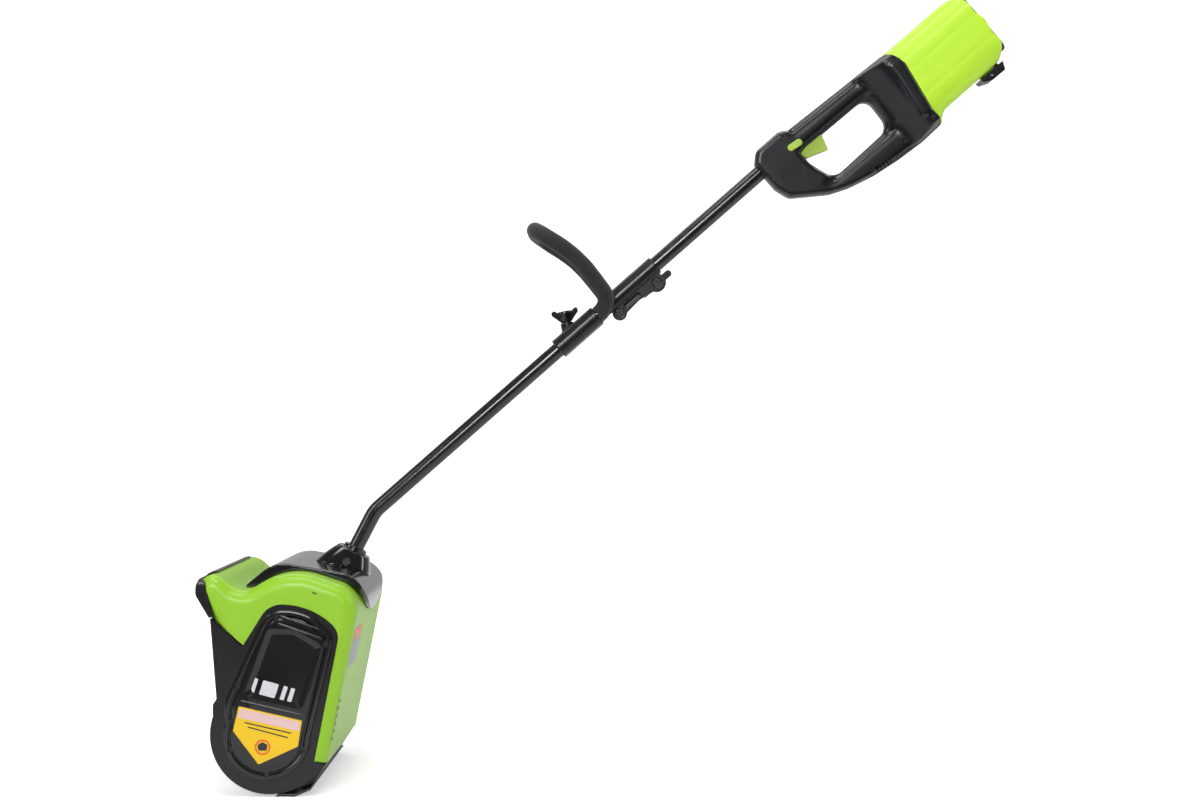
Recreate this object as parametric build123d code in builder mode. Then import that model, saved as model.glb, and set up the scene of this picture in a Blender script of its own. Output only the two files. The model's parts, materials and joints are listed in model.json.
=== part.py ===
"""Cordless snow shovel: a 12 inch paddle head on a two-piece bent shaft, with a D-handle and battery bay.

Row frame, millimetres: +Z up, -X is forward (where the snow goes), -Y is the tool's left side.
The origin is on the ground, under the middle of the scraper bar.
"""

import os
from math import cos, radians, sin

from build123d import *

os.makedirs("parts", exist_ok=True)

# ---------------------------------------------------------------- driving dimensions
HEAD_WIDTH = 305.0  # 12 inch clearing width, outside to outside
HALF = HEAD_WIDTH / 2
WALL = 3.0  # moulded wall of the head's shells
GAP = 0.3  # between neighbouring covers
RUN_GAP = 0.05  # radial running clearance of a shaft in its bearing
SEAT_GAP = 0.03  # radial clearance of a part that is fixed in its seat

TUBE_OD = 20.0
TUBE_WALL = 1.5
TUBE_R = TUBE_OD / 2
SHAFT_ANGLE = 41.3  # long straight of the shaft above the ground
NECK_ANGLE = 62.6  # short straight that enters the head
BEND = (92.3, 340.6)  # where the two straights meet, X and Z
BEND_RADIUS = 40.0
NECK_LENGTH = 118.0  # from the bend down to the tube's end
JOINT_AT = 440.0  # along the shaft, where the two tubes meet
HANDLE_AT = 666.0  # along the shaft, where the handle begins
BAY_AT = 884.0  # along the shaft, where the battery bay begins

ROTOR = (-20.0, 76.0)  # rotor axis, X and Z
ROTOR_R = 66.0
ROTOR_HALF = 117.0  # half the rotor's length
GUARD_R = 73.0  # round lower edge of the side plates
MOTOR = (15.0, 190.0)  # motor axis, X and Z
MOTOR_R = 31.0
BOX_DEPTH = 24.0  # depth of each side box, which holds the drive
INNER_WALL = HALF - BOX_DEPTH  # distance of the rotor chamber's side walls from the middle
SCREW_R = 2.0

# ---------------------------------------------------------------- planes and small helpers
SIDE = Plane.XZ  # local x is X, local y is Z, normal is -Y
ALONG = Vector(cos(radians(SHAFT_ANGLE)), 0, sin(radians(SHAFT_ANGLE)))
UP = Vector(-sin(radians(SHAFT_ANGLE)), 0, cos(radians(SHAFT_ANGLE)))
NECK = Vector(cos(radians(NECK_ANGLE)), 0, sin(radians(NECK_ANGLE)))
BEND_POINT = Vector(BEND[0], 0, BEND[1])
SHAFT_SIDE = Plane(origin=BEND_POINT, x_dir=ALONG, z_dir=(0, -1, 0))


def on_shaft(u, v=0.0, y=0.0):
    """A point u along the long straight from the bend, v above its axis and y to the right."""
    return BEND_POINT + ALONG * u + UP * v + Vector(0, y, 0)


def across_shaft(u):
    """The plane square to the shaft at u: local x is Y, local y is up from the shaft."""
    return Plane(origin=on_shaft(u), x_dir=(0, 1, 0), z_dir=ALONG)


def across_neck(down):
    """The plane square to the neck, down below the bend."""
    return Plane(origin=BEND_POINT - NECK * down, x_dir=(0, 1, 0), z_dir=NECK)


def side_at(y):
    """A side-view plane at y, so that a positive extrude goes to the left."""
    return Plane(origin=(0, y, 0), x_dir=(1, 0, 0), z_dir=(0, -1, 0))


def shaft_side_at(y):
    """A side-view plane in the shaft's frame at y."""
    return Plane(origin=BEND_POINT + Vector(0, y, 0), x_dir=ALONG, z_dir=(0, -1, 0))


def save(piece, name):
    """Labels a finished piece and writes it."""
    piece.part.label = name
    export_step(piece.part, f"parts/{name}.step")


# ---------------------------------------------------------------- outlines of the head, in side view
NOSE_LOW = (-91.0, 220.0)
NOSE_TIP = (-107.0, 247.0)
NOSE_TOP = (-107.0, 276.0)
NOSE_BACK = (-79.0, 267.5)
SADDLE = (-55.0, 245.0)
CREST = (0.0, 280.0)
REAR_TOP = (92.0, 250.0)
REAR_LOW = (50.0, 40.0)
TOP_RADII = (5.0, 16.5, 24.0, 25.0, 80.0, 35.0)  # at the nose tip, top and back, saddle, crest, rear corner
COVER_LOW = (36.0, 44.0)


def hood_outline(grow=0.0):
    """The whole upper head in side view, from the nose over the top and down the rear wall, grown all round."""
    with BuildSketch() as made:
        with BuildLine():
            FilletPolyline(NOSE_LOW, NOSE_TIP, NOSE_TOP, NOSE_BACK, SADDLE, CREST, REAR_TOP, REAR_LOW,
                           radius=TOP_RADII)
            Polyline(REAR_LOW, COVER_LOW, (-45, 180), NOSE_LOW)
        make_face()
        if grow:
            offset(amount=grow)
    return made.sketch_local


def side_opening():
    """The part of the side view that the black side plates fill, run out past the front and bottom."""
    with BuildSketch() as made:
        with BuildLine():
            Polyline((-95, 221), (-52, 184), (-30, 219))
            ThreePointArc((-30, 219), (-18, 231.5), (0, 235))
            ThreePointArc((0, 235), (31, 228), (57, 211))
            ThreePointArc((57, 211), (64, 200), (64, 187))
            Polyline((64, 187), COVER_LOW, (60, 34), (60, -20), (-140, -20), (-140, 221), (-95, 221))
        make_face()
    return made.sketch_local


def plate_outline(inset=0.0):
    """A side plate's own outline: straight front edge, round rotor guard, and the hood's edge behind."""
    with BuildSketch() as made:
        with BuildLine():
            Polyline((-92, 218.5), (-84, 120), (-88.5, 113), (-88.5, 98))
            ThreePointArc((-88.5, 98), (-66, 20), (ROTOR[0], ROTOR[1] - GUARD_R))
            ThreePointArc((ROTOR[0], ROTOR[1] - GUARD_R), (20, 13), REAR_LOW)
            Polyline(REAR_LOW, (70, 187), (40, 245), (-60, 245), (-92, 218.5))
        make_face()
        add(side_opening(), mode=Mode.INTERSECT)
        offset(amount=-GAP - inset)
    return made.sketch_local


def cover_outline(inset=0.0):
    """The drive cover's outline: a wide top end at the motor and a round lower end at the rotor."""
    with BuildSketch() as made:
        with BuildLine():
            Line((-68, 128), (-30, 210))
            ThreePointArc((-30, 210), (-18, 224), (0, 228))
            ThreePointArc((0, 228), (28, 222), (50, 206))
            ThreePointArc((50, 206), (57, 197), (57, 184))
            Line((57, 184), (31, 72))
            ThreePointArc((31, 72), (-24, 22), (-72, 92))
            ThreePointArc((-72, 92), (-73, 110), (-68, 128))
        make_face()
        if inset:
            offset(amount=-inset)
    return made.sketch_local


# ---------------------------------------------------------------- head shells
SHOULDER = 16.0  # rounding where the hood turns from top to side
ARCH_HALF = 108.0  # half the width of the black cover on top of the hood
ARCH_REAR_LOW = 215.0  # height of the middle of that cover's curved rear edge
LIP = 3.0  # thickness of the nose lip
PATCH_HALF = 116.0  # half the width of the lip's deeper middle
NOSE_LIP_TOP = 275.0  # highest point of the nose lip
CHUTE_R = 71.5  # middle of the curved wall behind the rotor
CHUTE_BACK = [(-27, 153.5), (-58, 200), (-91, 236)]  # the chute's wall above the rotor
SOCKET_BOLT_AT = 71.0  # down the neck from the bend
BOLT_R = 2.5


def shoulders(block, y):
    """The hood block's edges at +y and -y along its top and rear."""
    ends = block.edges().filter_by(lambda e: abs(abs(e.center().Y) - y) < 0.1)
    return ends.filter_by(lambda e: e.center().Z > 240 or (e.center().X > 60 and e.center().Z > 100))


def hood_block(inset=0.0):
    """The upper head as a solid, inset all round, with rounded shoulders."""
    with BuildPart() as made:
        extrude(SIDE * hood_outline(-inset), amount=HALF - inset, both=True)
        fillet(shoulders(made, HALF - inset), SHOULDER - inset)
    return made.part


def rotor_drum(radius, half_length):
    """A solid cylinder on the rotor's axis."""
    with BuildPart() as made:
        with BuildSketch(SIDE):
            with Locations(ROTOR):
                Circle(radius)
        extrude(amount=half_length, both=True)
    return made.part


with BuildPart() as hood:
    add(hood_block())
    add(hood_block(WALL), mode=Mode.SUBTRACT)
    extrude(SIDE * side_opening(), amount=HALF + 10, both=True, mode=Mode.SUBTRACT)
    add(rotor_drum(CHUTE_R + 2, INNER_WALL), mode=Mode.SUBTRACT)
    with BuildSketch(SIDE):
        with BuildLine():
            Polyline((-140, 150), (0, 150), (-25, 156), (-56, 203), (-89, 240), (-140, 240), close=True)
        make_face()
    extrude(amount=INNER_WALL, both=True, mode=Mode.SUBTRACT)
    with BuildSketch(across_neck(60)):
        Circle(TUBE_R + 5)
    extrude(amount=-70, mode=Mode.SUBTRACT)
save(hood, "hood")

with BuildPart() as nose_lip:
    with BuildSketch(SIDE):
        Polygon((-125, 213), (-85, 213), (-98, 262), (-125, 285), align=None)
    extrude(amount=HALF, both=True)
    with BuildSketch(SIDE):
        Polygon((-125, 213), (-88, 213), (-90, 285), (-125, 285), align=None)
    extrude(amount=PATCH_HALF, both=True)
    extrude(SIDE * hood_outline(LIP), amount=HALF, both=True, mode=Mode.INTERSECT)
    with BuildSketch(Plane.YZ):
        with Locations((0, NOSE_LIP_TOP - 100)):
            RectangleRounded(2 * HALF, 200, radius=SHOULDER + 1)
    extrude(amount=200, both=True, mode=Mode.INTERSECT)
    add(hood_block(), mode=Mode.SUBTRACT)
    with BuildSketch(SIDE):
        Polygon((-95, 218), (-80, 205), (-80, 219), (-90, 219), align=None)
    extrude(amount=HALF + 5, both=True, mode=Mode.SUBTRACT)
save(nose_lip, "nose_lip")

with BuildPart() as top_cover:
    with BuildSketch(SIDE):
        with BuildLine():
            FilletPolyline((-56, 254.5), (-20, 284.5), (100, 263), (90, 214), radius=(45, 36))
            Polyline((90, 214), (40, 214), (-30, 240), (-54, 247), (-56, 254.5))
        make_face()
    extrude(amount=ARCH_HALF, both=True)
    with BuildSketch(Plane.YZ.offset(50)):
        with BuildLine():
            rear_edge = ThreePointArc((-ARCH_HALF - 1, 250), (0, ARCH_REAR_LOW), (ARCH_HALF + 1, 250))
            Polyline(rear_edge @ 1, (ARCH_HALF + 1, 150), (-ARCH_HALF - 1, 150), rear_edge @ 0)
        make_face()
    extrude(amount=80, mode=Mode.SUBTRACT)
    arch_solid = top_cover.part
    add(hood_block(), mode=Mode.SUBTRACT)
    with BuildSketch(across_neck(40)):
        Circle(TUBE_R + 2)
    extrude(amount=-100, mode=Mode.SUBTRACT)
save(top_cover, "top_cover")

SOCKET_SECTIONS = [(108, 84, 76), (74, 62, 56), (57, 42, 40)]  # down the neck, depth, width
with BuildPart() as shaft_socket:
    for down, depth, width in SOCKET_SECTIONS:
        with BuildSketch(across_neck(down)):
            RectangleRounded(width, depth, radius=width * 0.36)
    loft()
    with BuildSketch(across_neck(57)):
        Circle(15.5)
    extrude(amount=5)
    add(arch_solid, mode=Mode.SUBTRACT)
    add(hood_block(), mode=Mode.SUBTRACT)
    with BuildSketch(across_neck(30)):
        Circle(TUBE_R + RUN_GAP)
    extrude(amount=-110, mode=Mode.SUBTRACT)
    with BuildSketch(SIDE):
        with Locations((BEND[0] - NECK.X * SOCKET_BOLT_AT, BEND[1] - NECK.Z * SOCKET_BOLT_AT)):
            Circle(BOLT_R + 0.1)
    extrude(amount=60, both=True, mode=Mode.SUBTRACT)
save(shaft_socket, "shaft_socket")

with BuildPart() as inner_chute:
    with BuildSketch(SIDE):
        with BuildLine():
            back = CenterArc(ROTOR, CHUTE_R, -58, 130)
            FilletPolyline(back @ 1, *CHUTE_BACK, radius=(14, 60))
        trace(line_width=WALL)
    extrude(amount=INNER_WALL - 0.4, both=True)
save(inner_chute, "inner_chute")

with BuildPart() as rear_sill:
    with BuildSketch(SIDE):
        with BuildLine():
            sill_arc = CenterArc(ROTOR, CHUTE_R + 2, -60, 31)
            Polyline(sill_arc @ 1, (48, 37.5), (31, 12.2), (15, 5.5), sill_arc @ 0)
        make_face()
    extrude(amount=INNER_WALL - 0.4, both=True)
save(rear_sill, "rear_sill")

SOLE = 12.0  # half the depth of the scraper's flat sole
SCRAPER_THICK = 3.6
SCRAPER_SCREWS = [-114, -38, 38, 114]
with BuildPart() as scraper_bar:
    with BuildSketch(SIDE):
        Polygon((-SOLE, 0), (SOLE, 0), (32, 8.5), (30.6, 11), (SOLE, SCRAPER_THICK), (3 - SOLE, SCRAPER_THICK),
                align=None)
    extrude(amount=HALF - 0.5, both=True)
    with BuildSketch(Plane.XY):
        with Locations(*[(0, y) for y in SCRAPER_SCREWS]):
            Circle(SCREW_R + 0.1)
    extrude(amount=SCRAPER_THICK, mode=Mode.SUBTRACT)
save(scraper_bar, "scraper_bar")

with BuildPart() as scraper_screws:
    with BuildSketch(Plane.XY.offset(0.4)):
        with Locations(*[(0, y) for y in SCRAPER_SCREWS]):
            Circle(SCREW_R)
    extrude(amount=SCRAPER_THICK)
    with BuildSketch(Plane.XY.offset(SCRAPER_THICK)):
        with Locations(*[(0, y) for y in SCRAPER_SCREWS]):
            Circle(2 * SCREW_R)
    extrude(amount=1.6)
save(scraper_screws, "scraper_screws")

# ---------------------------------------------------------------- side boxes, drive cover and end cover
BEARING_R = 16.0
BEARING_WIDTH = 10.0
AXLE_R = 6.0
BOSS_IN = 8.0  # how far the bearing boss stands into the rotor chamber
COVER_RISE = 7.5  # the drive cover's panel above the side plate
COVER_RIM = 11.0  # width of the cover's seat, which takes the screws
COVER_FLOOR = 2.0  # thickness under each screw head
RIM_STEP = 1.5  # step round the cover's edge
HEAD_R = 3.6
COVER_SCREWS = [(-10, 219.5), (50, 187), (-57, 136), (22, 59), (-22, 28.5), (-65.5, 59)]

with BuildPart() as left_side_box:
    extrude(side_at(-INNER_WALL) * plate_outline(), amount=BOX_DEPTH)
    extrude(side_at(-INNER_WALL - WALL) * plate_outline(WALL), amount=BOX_DEPTH - 2 * WALL, mode=Mode.SUBTRACT)
    extrude(side_at(WALL + 0.5 - HALF) * cover_outline(COVER_RIM), amount=WALL + 5, mode=Mode.SUBTRACT)
    with BuildSketch(side_at(BOSS_IN - INNER_WALL)):
        with Locations(ROTOR):
            Circle(BEARING_R + 4)
    extrude(amount=BOSS_IN + WALL)
    with BuildSketch(side_at(BOSS_IN - INNER_WALL)):
        with Locations(ROTOR):
            Circle(BEARING_R + SEAT_GAP)
    extrude(amount=BEARING_WIDTH, mode=Mode.SUBTRACT)
    with BuildSketch(side_at(0)):
        with Locations(ROTOR):
            Circle(AXLE_R + 2)
        with Locations(MOTOR):
            Circle(9)
    extrude(amount=INNER_WALL + WALL + 1, mode=Mode.SUBTRACT)
    with BuildSketch(side_at(WALL + 1 - HALF)):
        with Locations(*COVER_SCREWS):
            Circle(SCREW_R + 0.1)
    extrude(amount=WALL + 2, mode=Mode.SUBTRACT)
save(left_side_box, "left_side_box")

with BuildPart() as right_side_box:
    mirror(left_side_box.part, about=Plane.XZ)
save(right_side_box, "right_side_box")

with BuildPart() as drive_cover:
    extrude(side_at(-HALF) * cover_outline(), amount=COVER_RISE - RIM_STEP)
    extrude(side_at(-HALF) * cover_outline(RIM_STEP), amount=COVER_RISE)
    with BuildSketch(side_at(1.6 - HALF - COVER_RISE)):
        with BuildLine():
            FilletPolyline((-24, 196), (18, 196), (42, 184), (20, 107), (-50, 124), radius=5, close=True)
        make_face()
    extrude(amount=5, mode=Mode.SUBTRACT)
    extrude(side_at(-HALF) * cover_outline(COVER_RIM), amount=COVER_RISE - 4, mode=Mode.SUBTRACT)
    with BuildSketch(side_at(-HALF)):
        with Locations(*COVER_SCREWS):
            Circle(SCREW_R + 0.1)
    extrude(amount=COVER_RISE, mode=Mode.SUBTRACT)
    with BuildSketch(side_at(-HALF - COVER_FLOOR)):
        with Locations(*COVER_SCREWS):
            Circle(HEAD_R + 0.2)
    extrude(amount=COVER_RISE, mode=Mode.SUBTRACT)
save(drive_cover, "drive_cover")

with BuildPart() as right_end_cover:
    mirror(drive_cover.part, about=Plane.XZ)
save(right_end_cover, "right_end_cover")

with BuildPart() as cover_screws:
    with BuildSketch(side_at(2 + WALL - HALF)):
        with Locations(*COVER_SCREWS):
            Circle(SCREW_R)
    extrude(amount=2 + WALL + COVER_FLOOR)
    with BuildSketch(side_at(-HALF - COVER_FLOOR)):
        with Locations(*COVER_SCREWS):
            Circle(HEAD_R)
            Rectangle(4.2, 0.9, mode=Mode.SUBTRACT)
    extrude(amount=1.8)
    with BuildSketch(side_at(-HALF - COVER_FLOOR)):
        with Locations(*COVER_SCREWS):
            Circle(HEAD_R)
    extrude(amount=0.8)
    mirror(about=Plane.XZ)
save(cover_screws, "cover_screws")

BEARING_FACES = {"bearing_left": BOSS_IN - INNER_WALL, "bearing_right": INNER_WALL - BOSS_IN + BEARING_WIDTH}
for name, inner_y in BEARING_FACES.items():
    with BuildPart() as bearing:
        with BuildSketch(side_at(inner_y)):
            with Locations(ROTOR):
                Circle(BEARING_R)
                Circle(AXLE_R + RUN_GAP, mode=Mode.SUBTRACT)
        extrude(amount=BEARING_WIDTH)
    save(bearing, name)

# ---------------------------------------------------------------- rotor, which throws the snow
PADDLE_THICK = 4.0
PADDLE_HALF = 113.8
PADDLE_TWIST = 24.0  # lag of each paddle's ends behind its middle
CORE_R = 16.0
DISC_THICK = 3.0
DRIVE_AT = -146.0  # outer face of both pulleys
PULLEY_WIDE = 11.0
PULLEY_R = 10.0
DRIVEN_R = 40.0
BELT_THICK = 3.0


def rotor_axis_at(y):
    """The side-view plane with its origin on the rotor's axis, at y."""
    return Plane(origin=(ROTOR[0], y, ROTOR[1]), x_dir=(1, 0, 0), z_dir=(0, -1, 0))


def motor_axis_at(y):
    """The side-view plane with its origin on the motor's axis, at y."""
    return Plane(origin=(MOTOR[0], y, MOTOR[1]), x_dir=(1, 0, 0), z_dir=(0, -1, 0))


def turned(plane, outer, inner, length):
    """A ring on an axis: outer and inner radius, extruded along the plane's normal."""
    with BuildPart() as made:
        with BuildSketch(plane):
            Circle(outer)
            if inner:
                Circle(inner, mode=Mode.SUBTRACT)
        extrude(amount=length)
    return made


rotor_shaft = turned(rotor_axis_at(134), AXLE_R, 0, 281)
save(rotor_shaft, "rotor_shaft")

rotor_core = turned(rotor_axis_at(PADDLE_HALF), CORE_R, AXLE_R + SEAT_GAP, 2 * PADDLE_HALF)
save(rotor_core, "rotor_core")

with BuildPart() as rotor_discs:
    with BuildSketch(rotor_axis_at(ROTOR_HALF)):
        Circle(40)
        Circle(AXLE_R + SEAT_GAP, mode=Mode.SUBTRACT)
    extrude(amount=DISC_THICK)
    mirror(about=Plane.XZ)
save(rotor_discs, "rotor_discs")

with BuildSketch() as paddle_profile:
    with BuildLine():
        ThreePointArc((CORE_R + 2, 0), (42, 7), (ROTOR_R - 1, -6))
    trace(line_width=PADDLE_THICK)

for name, start in (("paddle_front", 180), ("paddle_rear", 0)):
    with BuildPart() as paddle:
        for y, lag in ((-PADDLE_HALF, PADDLE_TWIST), (0, 0), (PADDLE_HALF, PADDLE_TWIST)):
            with BuildSketch(rotor_axis_at(y)):
                add(paddle_profile.sketch_local, rotation=start - lag)
        loft(ruled=True)
    save(paddle, name)

driven_pulley = turned(rotor_axis_at(DRIVE_AT + PULLEY_WIDE), DRIVEN_R, AXLE_R + SEAT_GAP, PULLEY_WIDE)
save(driven_pulley, "driven_pulley")

# ---------------------------------------------------------------- motor and belt
CAN_OUT = -125.0  # the can's drive end
CAN_IN = -37.0
MOTOR_SHAFT_R = 4.0
with BuildPart() as motor_can:
    with BuildSketch(motor_axis_at(CAN_IN)):
        Circle(MOTOR_R)
    extrude(amount=CAN_IN - CAN_OUT)
    with BuildSketch(motor_axis_at(CAN_IN - WALL)):
        Circle(MOTOR_R - WALL)
    extrude(amount=CAN_IN - CAN_OUT - 2 * WALL, mode=Mode.SUBTRACT)
    with BuildSketch(motor_axis_at(CAN_IN)):
        Circle(MOTOR_SHAFT_R + RUN_GAP)
    extrude(amount=CAN_IN - CAN_OUT, mode=Mode.SUBTRACT)
save(motor_can, "motor_can")

with BuildPart() as motor_mount:
    with BuildSketch(motor_axis_at(CAN_OUT)):
        Circle(MOTOR_R + 3)
        Rectangle(92, 16)
        Circle(9, mode=Mode.SUBTRACT)
    extrude(amount=CAN_OUT + INNER_WALL)
save(motor_mount, "motor_mount")

motor_shaft = turned(motor_axis_at(CAN_IN - 1), MOTOR_SHAFT_R, 0, CAN_IN - 1 - DRIVE_AT)
save(motor_shaft, "motor_shaft")

motor_armature = turned(motor_axis_at(-57), 20, MOTOR_SHAFT_R + SEAT_GAP, 54)
save(motor_armature, "motor_armature")

with BuildPart() as motor_fan:
    with BuildSketch(motor_axis_at(-44)):
        Circle(8)
        with PolarLocations(15, 9):
            Rectangle(16, 2)
        Circle(MOTOR_SHAFT_R + SEAT_GAP, mode=Mode.SUBTRACT)
    extrude(amount=9)
save(motor_fan, "motor_fan")

drive_pulley = turned(motor_axis_at(DRIVE_AT + PULLEY_WIDE), PULLEY_R, MOTOR_SHAFT_R + SEAT_GAP, PULLEY_WIDE)
save(drive_pulley, "drive_pulley")

with BuildPart() as drive_belt:
    for clearance, mode in ((BELT_THICK + 0.1, Mode.ADD), (0.1, Mode.SUBTRACT)):
        with BuildSketch(side_at(DRIVE_AT + PULLEY_WIDE - 0.5)):
            with Locations(ROTOR):
                Circle(DRIVEN_R + clearance)
            with Locations(MOTOR):
                Circle(PULLEY_R + clearance)
            make_hull()
        extrude(amount=PULLEY_WIDE - 1, mode=mode)
save(drive_belt, "drive_belt")

# ---------------------------------------------------------------- shaft tubes, cross bolt and lead
LEAD_R = 2.0
LEAD_OFF = 5.0  # the lead runs this far below the tube's axis, clear of the cross bolt
PLUG_LONG = 14.0
PLUG_R = 7.5
JOINT_GAP = 0.5  # between the ends of the two tubes
UPPER_TUBE_END = 709.0
BOLT_HALF = 29.0  # half the cross bolt's length between its head and its nut

with BuildPart() as socket_bolt:
    bolt_end = BEND_POINT - NECK * SOCKET_BOLT_AT + Vector(0, BOLT_HALF, 0)
    with BuildSketch(Plane(origin=bolt_end, z_dir=(0, -1, 0))):
        Circle(BOLT_R)
    extrude(amount=2 * BOLT_HALF)
    for y, head in ((-BOLT_HALF, 5.5), (BOLT_HALF + 4, 5.0)):
        with BuildSketch(Plane(origin=BEND_POINT - NECK * SOCKET_BOLT_AT + Vector(0, y, 0), z_dir=(0, -1, 0))):
            RegularPolygon(head, 6)
        extrude(amount=4)
save(socket_bolt, "socket_bolt")

with BuildPart() as lower_tube:
    with BuildLine():
        FilletPolyline(BEND_POINT - NECK * NECK_LENGTH, BEND_POINT, on_shaft(JOINT_AT), radius=BEND_RADIUS)
    with BuildSketch(across_neck(NECK_LENGTH)):
        Circle(TUBE_R)
        Circle(TUBE_R - TUBE_WALL, mode=Mode.SUBTRACT)
    sweep()
    with BuildSketch(Plane(origin=BEND_POINT - NECK * SOCKET_BOLT_AT, z_dir=(0, -1, 0))):
        Circle(BOLT_R + 0.1)
    extrude(amount=20, both=True, mode=Mode.SUBTRACT)
save(lower_tube, "lower_tube")

with BuildPart() as upper_tube:
    with BuildSketch(across_shaft(JOINT_AT + JOINT_GAP)):
        Circle(TUBE_R)
        Circle(TUBE_R - TUBE_WALL, mode=Mode.SUBTRACT)
    extrude(amount=UPPER_TUBE_END - JOINT_AT - JOINT_GAP)
save(upper_tube, "upper_tube")

NECK_BELOW = Vector(sin(radians(NECK_ANGLE)), 0, -cos(radians(NECK_ANGLE)))
HALF_TURN = (NECK_ANGLE - SHAFT_ANGLE) / 2
BEND_BELOW = Vector(sin(radians(SHAFT_ANGLE + HALF_TURN)), 0, -cos(radians(SHAFT_ANGLE + HALF_TURN)))
with BuildPart() as lower_lead:
    with BuildLine():
        lead_low = BEND_POINT - NECK * 150 + NECK_BELOW * LEAD_OFF
        lead_start = Vector(lead_low.X, CAN_IN + 0.1, lead_low.Z)
        lead_bend = BEND_POINT + BEND_BELOW * (LEAD_OFF / cos(radians(HALF_TURN)))
        FilletPolyline(lead_start, lead_low, lead_bend, on_shaft(JOINT_AT - PLUG_LONG - 0.6, -LEAD_OFF),
                       radius=(12, BEND_RADIUS))
    with BuildSketch(Plane(origin=lead_start, z_dir=(0, 1, 0))):
        Circle(LEAD_R)
    sweep()
save(lower_lead, "lower_lead")

for name, start in (("lower_plug", JOINT_AT - PLUG_LONG - 0.5), ("upper_plug", JOINT_AT + JOINT_GAP)):
    plug = turned(across_shaft(start), PLUG_R, 0, PLUG_LONG)
    save(plug, name)

# ---------------------------------------------------------------- coupler that joins the two tubes
COUPLER_FROM = 402.0
COUPLER_TO = 485.0
COUPLER_R = 12.5
COUPLER_SPLIT = 0.4  # half the gap between the coupler's halves
FRONT_BOSS = (409.0, -17.0)
REAR_BOSS = (471.0, -19.0)
WEB_HALF = 9.0

for name, side in (("coupler_left", -1), ("coupler_right", 1)):
    with BuildPart() as coupler:
        with BuildSketch(across_shaft(COUPLER_FROM)):
            Circle(COUPLER_R)
        extrude(amount=COUPLER_TO - COUPLER_FROM)
        with BuildSketch(SHAFT_SIDE):
            Polygon((405, -8), (412, -23), (440, -21), (468, -26), (480, -8), align=None)
            with Locations(FRONT_BOSS):
                Circle(9.5)
            with Locations(REAR_BOSS):
                Circle(12)
        extrude(amount=WEB_HALF, both=True)
        with BuildSketch(shaft_side_at(-6)):
            with Locations((432, -15)):
                SlotOverall(26, 5)
        extrude(amount=WEB_HALF, mode=Mode.SUBTRACT)
        with BuildSketch(across_shaft(COUPLER_FROM)):
            Circle(TUBE_R + RUN_GAP)
        extrude(amount=COUPLER_TO - COUPLER_FROM, mode=Mode.SUBTRACT)
        with BuildSketch(SHAFT_SIDE):
            with Locations(FRONT_BOSS, REAR_BOSS):
                Circle(BOLT_R + 0.1)
        extrude(amount=20, both=True, mode=Mode.SUBTRACT)
        with BuildSketch(shaft_side_at(3 - WEB_HALF)):
            with Locations(FRONT_BOSS, REAR_BOSS):
                Circle(5.8)
        extrude(amount=10, mode=Mode.SUBTRACT)
        split(bisect_by=side_at(COUPLER_SPLIT * side), keep=Keep.TOP if side < 0 else Keep.BOTTOM)
    save(coupler, name)

for name, boss, far_end in (("coupler_screw", FRONT_BOSS, WEB_HALF + 3), ("coupler_bolt", REAR_BOSS, 24)):
    with BuildPart() as bolt:
        with BuildSketch(shaft_side_at(3 - WEB_HALF)):
            with Locations(boss):
                Circle(5.4)
                RegularPolygon(2.4, 6, mode=Mode.SUBTRACT)
        extrude(amount=2.6)
        with BuildSketch(shaft_side_at(3 - WEB_HALF)):
            with Locations(boss):
                Circle(BOLT_R)
        extrude(amount=3 - WEB_HALF - far_end)
    save(bolt, name)

KNOB_WING = 25.0
with BuildPart() as coupler_knob:
    with BuildSketch(shaft_side_at(WEB_HALF + 4)):
        with Locations(REAR_BOSS):
            Circle(7.5)
    extrude(amount=-16)
    with BuildSketch(shaft_side_at(WEB_HALF + 9)):
        with Locations(REAR_BOSS):
            SlotOverall(2 * KNOB_WING, 9)
    extrude(amount=-9)
    with BuildSketch(shaft_side_at(WEB_HALF + 4)):
        with Locations(REAR_BOSS):
            Circle(BOLT_R + RUN_GAP)
    extrude(amount=-11.5, mode=Mode.SUBTRACT)
save(coupler_knob, "coupler_knob")

# ---------------------------------------------------------------- auxiliary handle: clamp, loop and foam grip
CLAMP_FROM = 318.0
CLAMP_TO = 385.0
CLAMP_HALF_HIGH = 13.0
CLAMP_HALF_WIDE = 33.0
CLAMP_SPLIT = 0.4
LEG_AT = 24.5  # distance of the loop's legs from the middle
LEG_R = 6.0
FOAM_R = 10.8
LOOP_POINTS = [(410, 0, LEG_AT), (414, 72, 50), (396, 134, 58)]  # u, v and distance from the middle
LOOP_RADII = (22, 140, 28, 28, 140, 22)
KNOB_TILT = 30.0  # the clamp knob leans up the shaft
KNOB_AT = (354.0, 28.0)  # middle of the knob's wings
CLAMP_SCREWS = [(326, 14.2), (377, 14.2), (326, -14.2), (377, -14.2)]  # u and Y

KNOB_AXIS = ALONG * sin(radians(KNOB_TILT)) + UP * cos(radians(KNOB_TILT))
KNOB_POINT = on_shaft(*KNOB_AT)


def across_knob(t):
    """The plane square to the clamp knob's axis, t above the middle of its wings: local y is Y."""
    return Plane(origin=KNOB_POINT + KNOB_AXIS * t, x_dir=KNOB_AXIS.cross(Vector(0, -1, 0)), z_dir=KNOB_AXIS)


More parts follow.
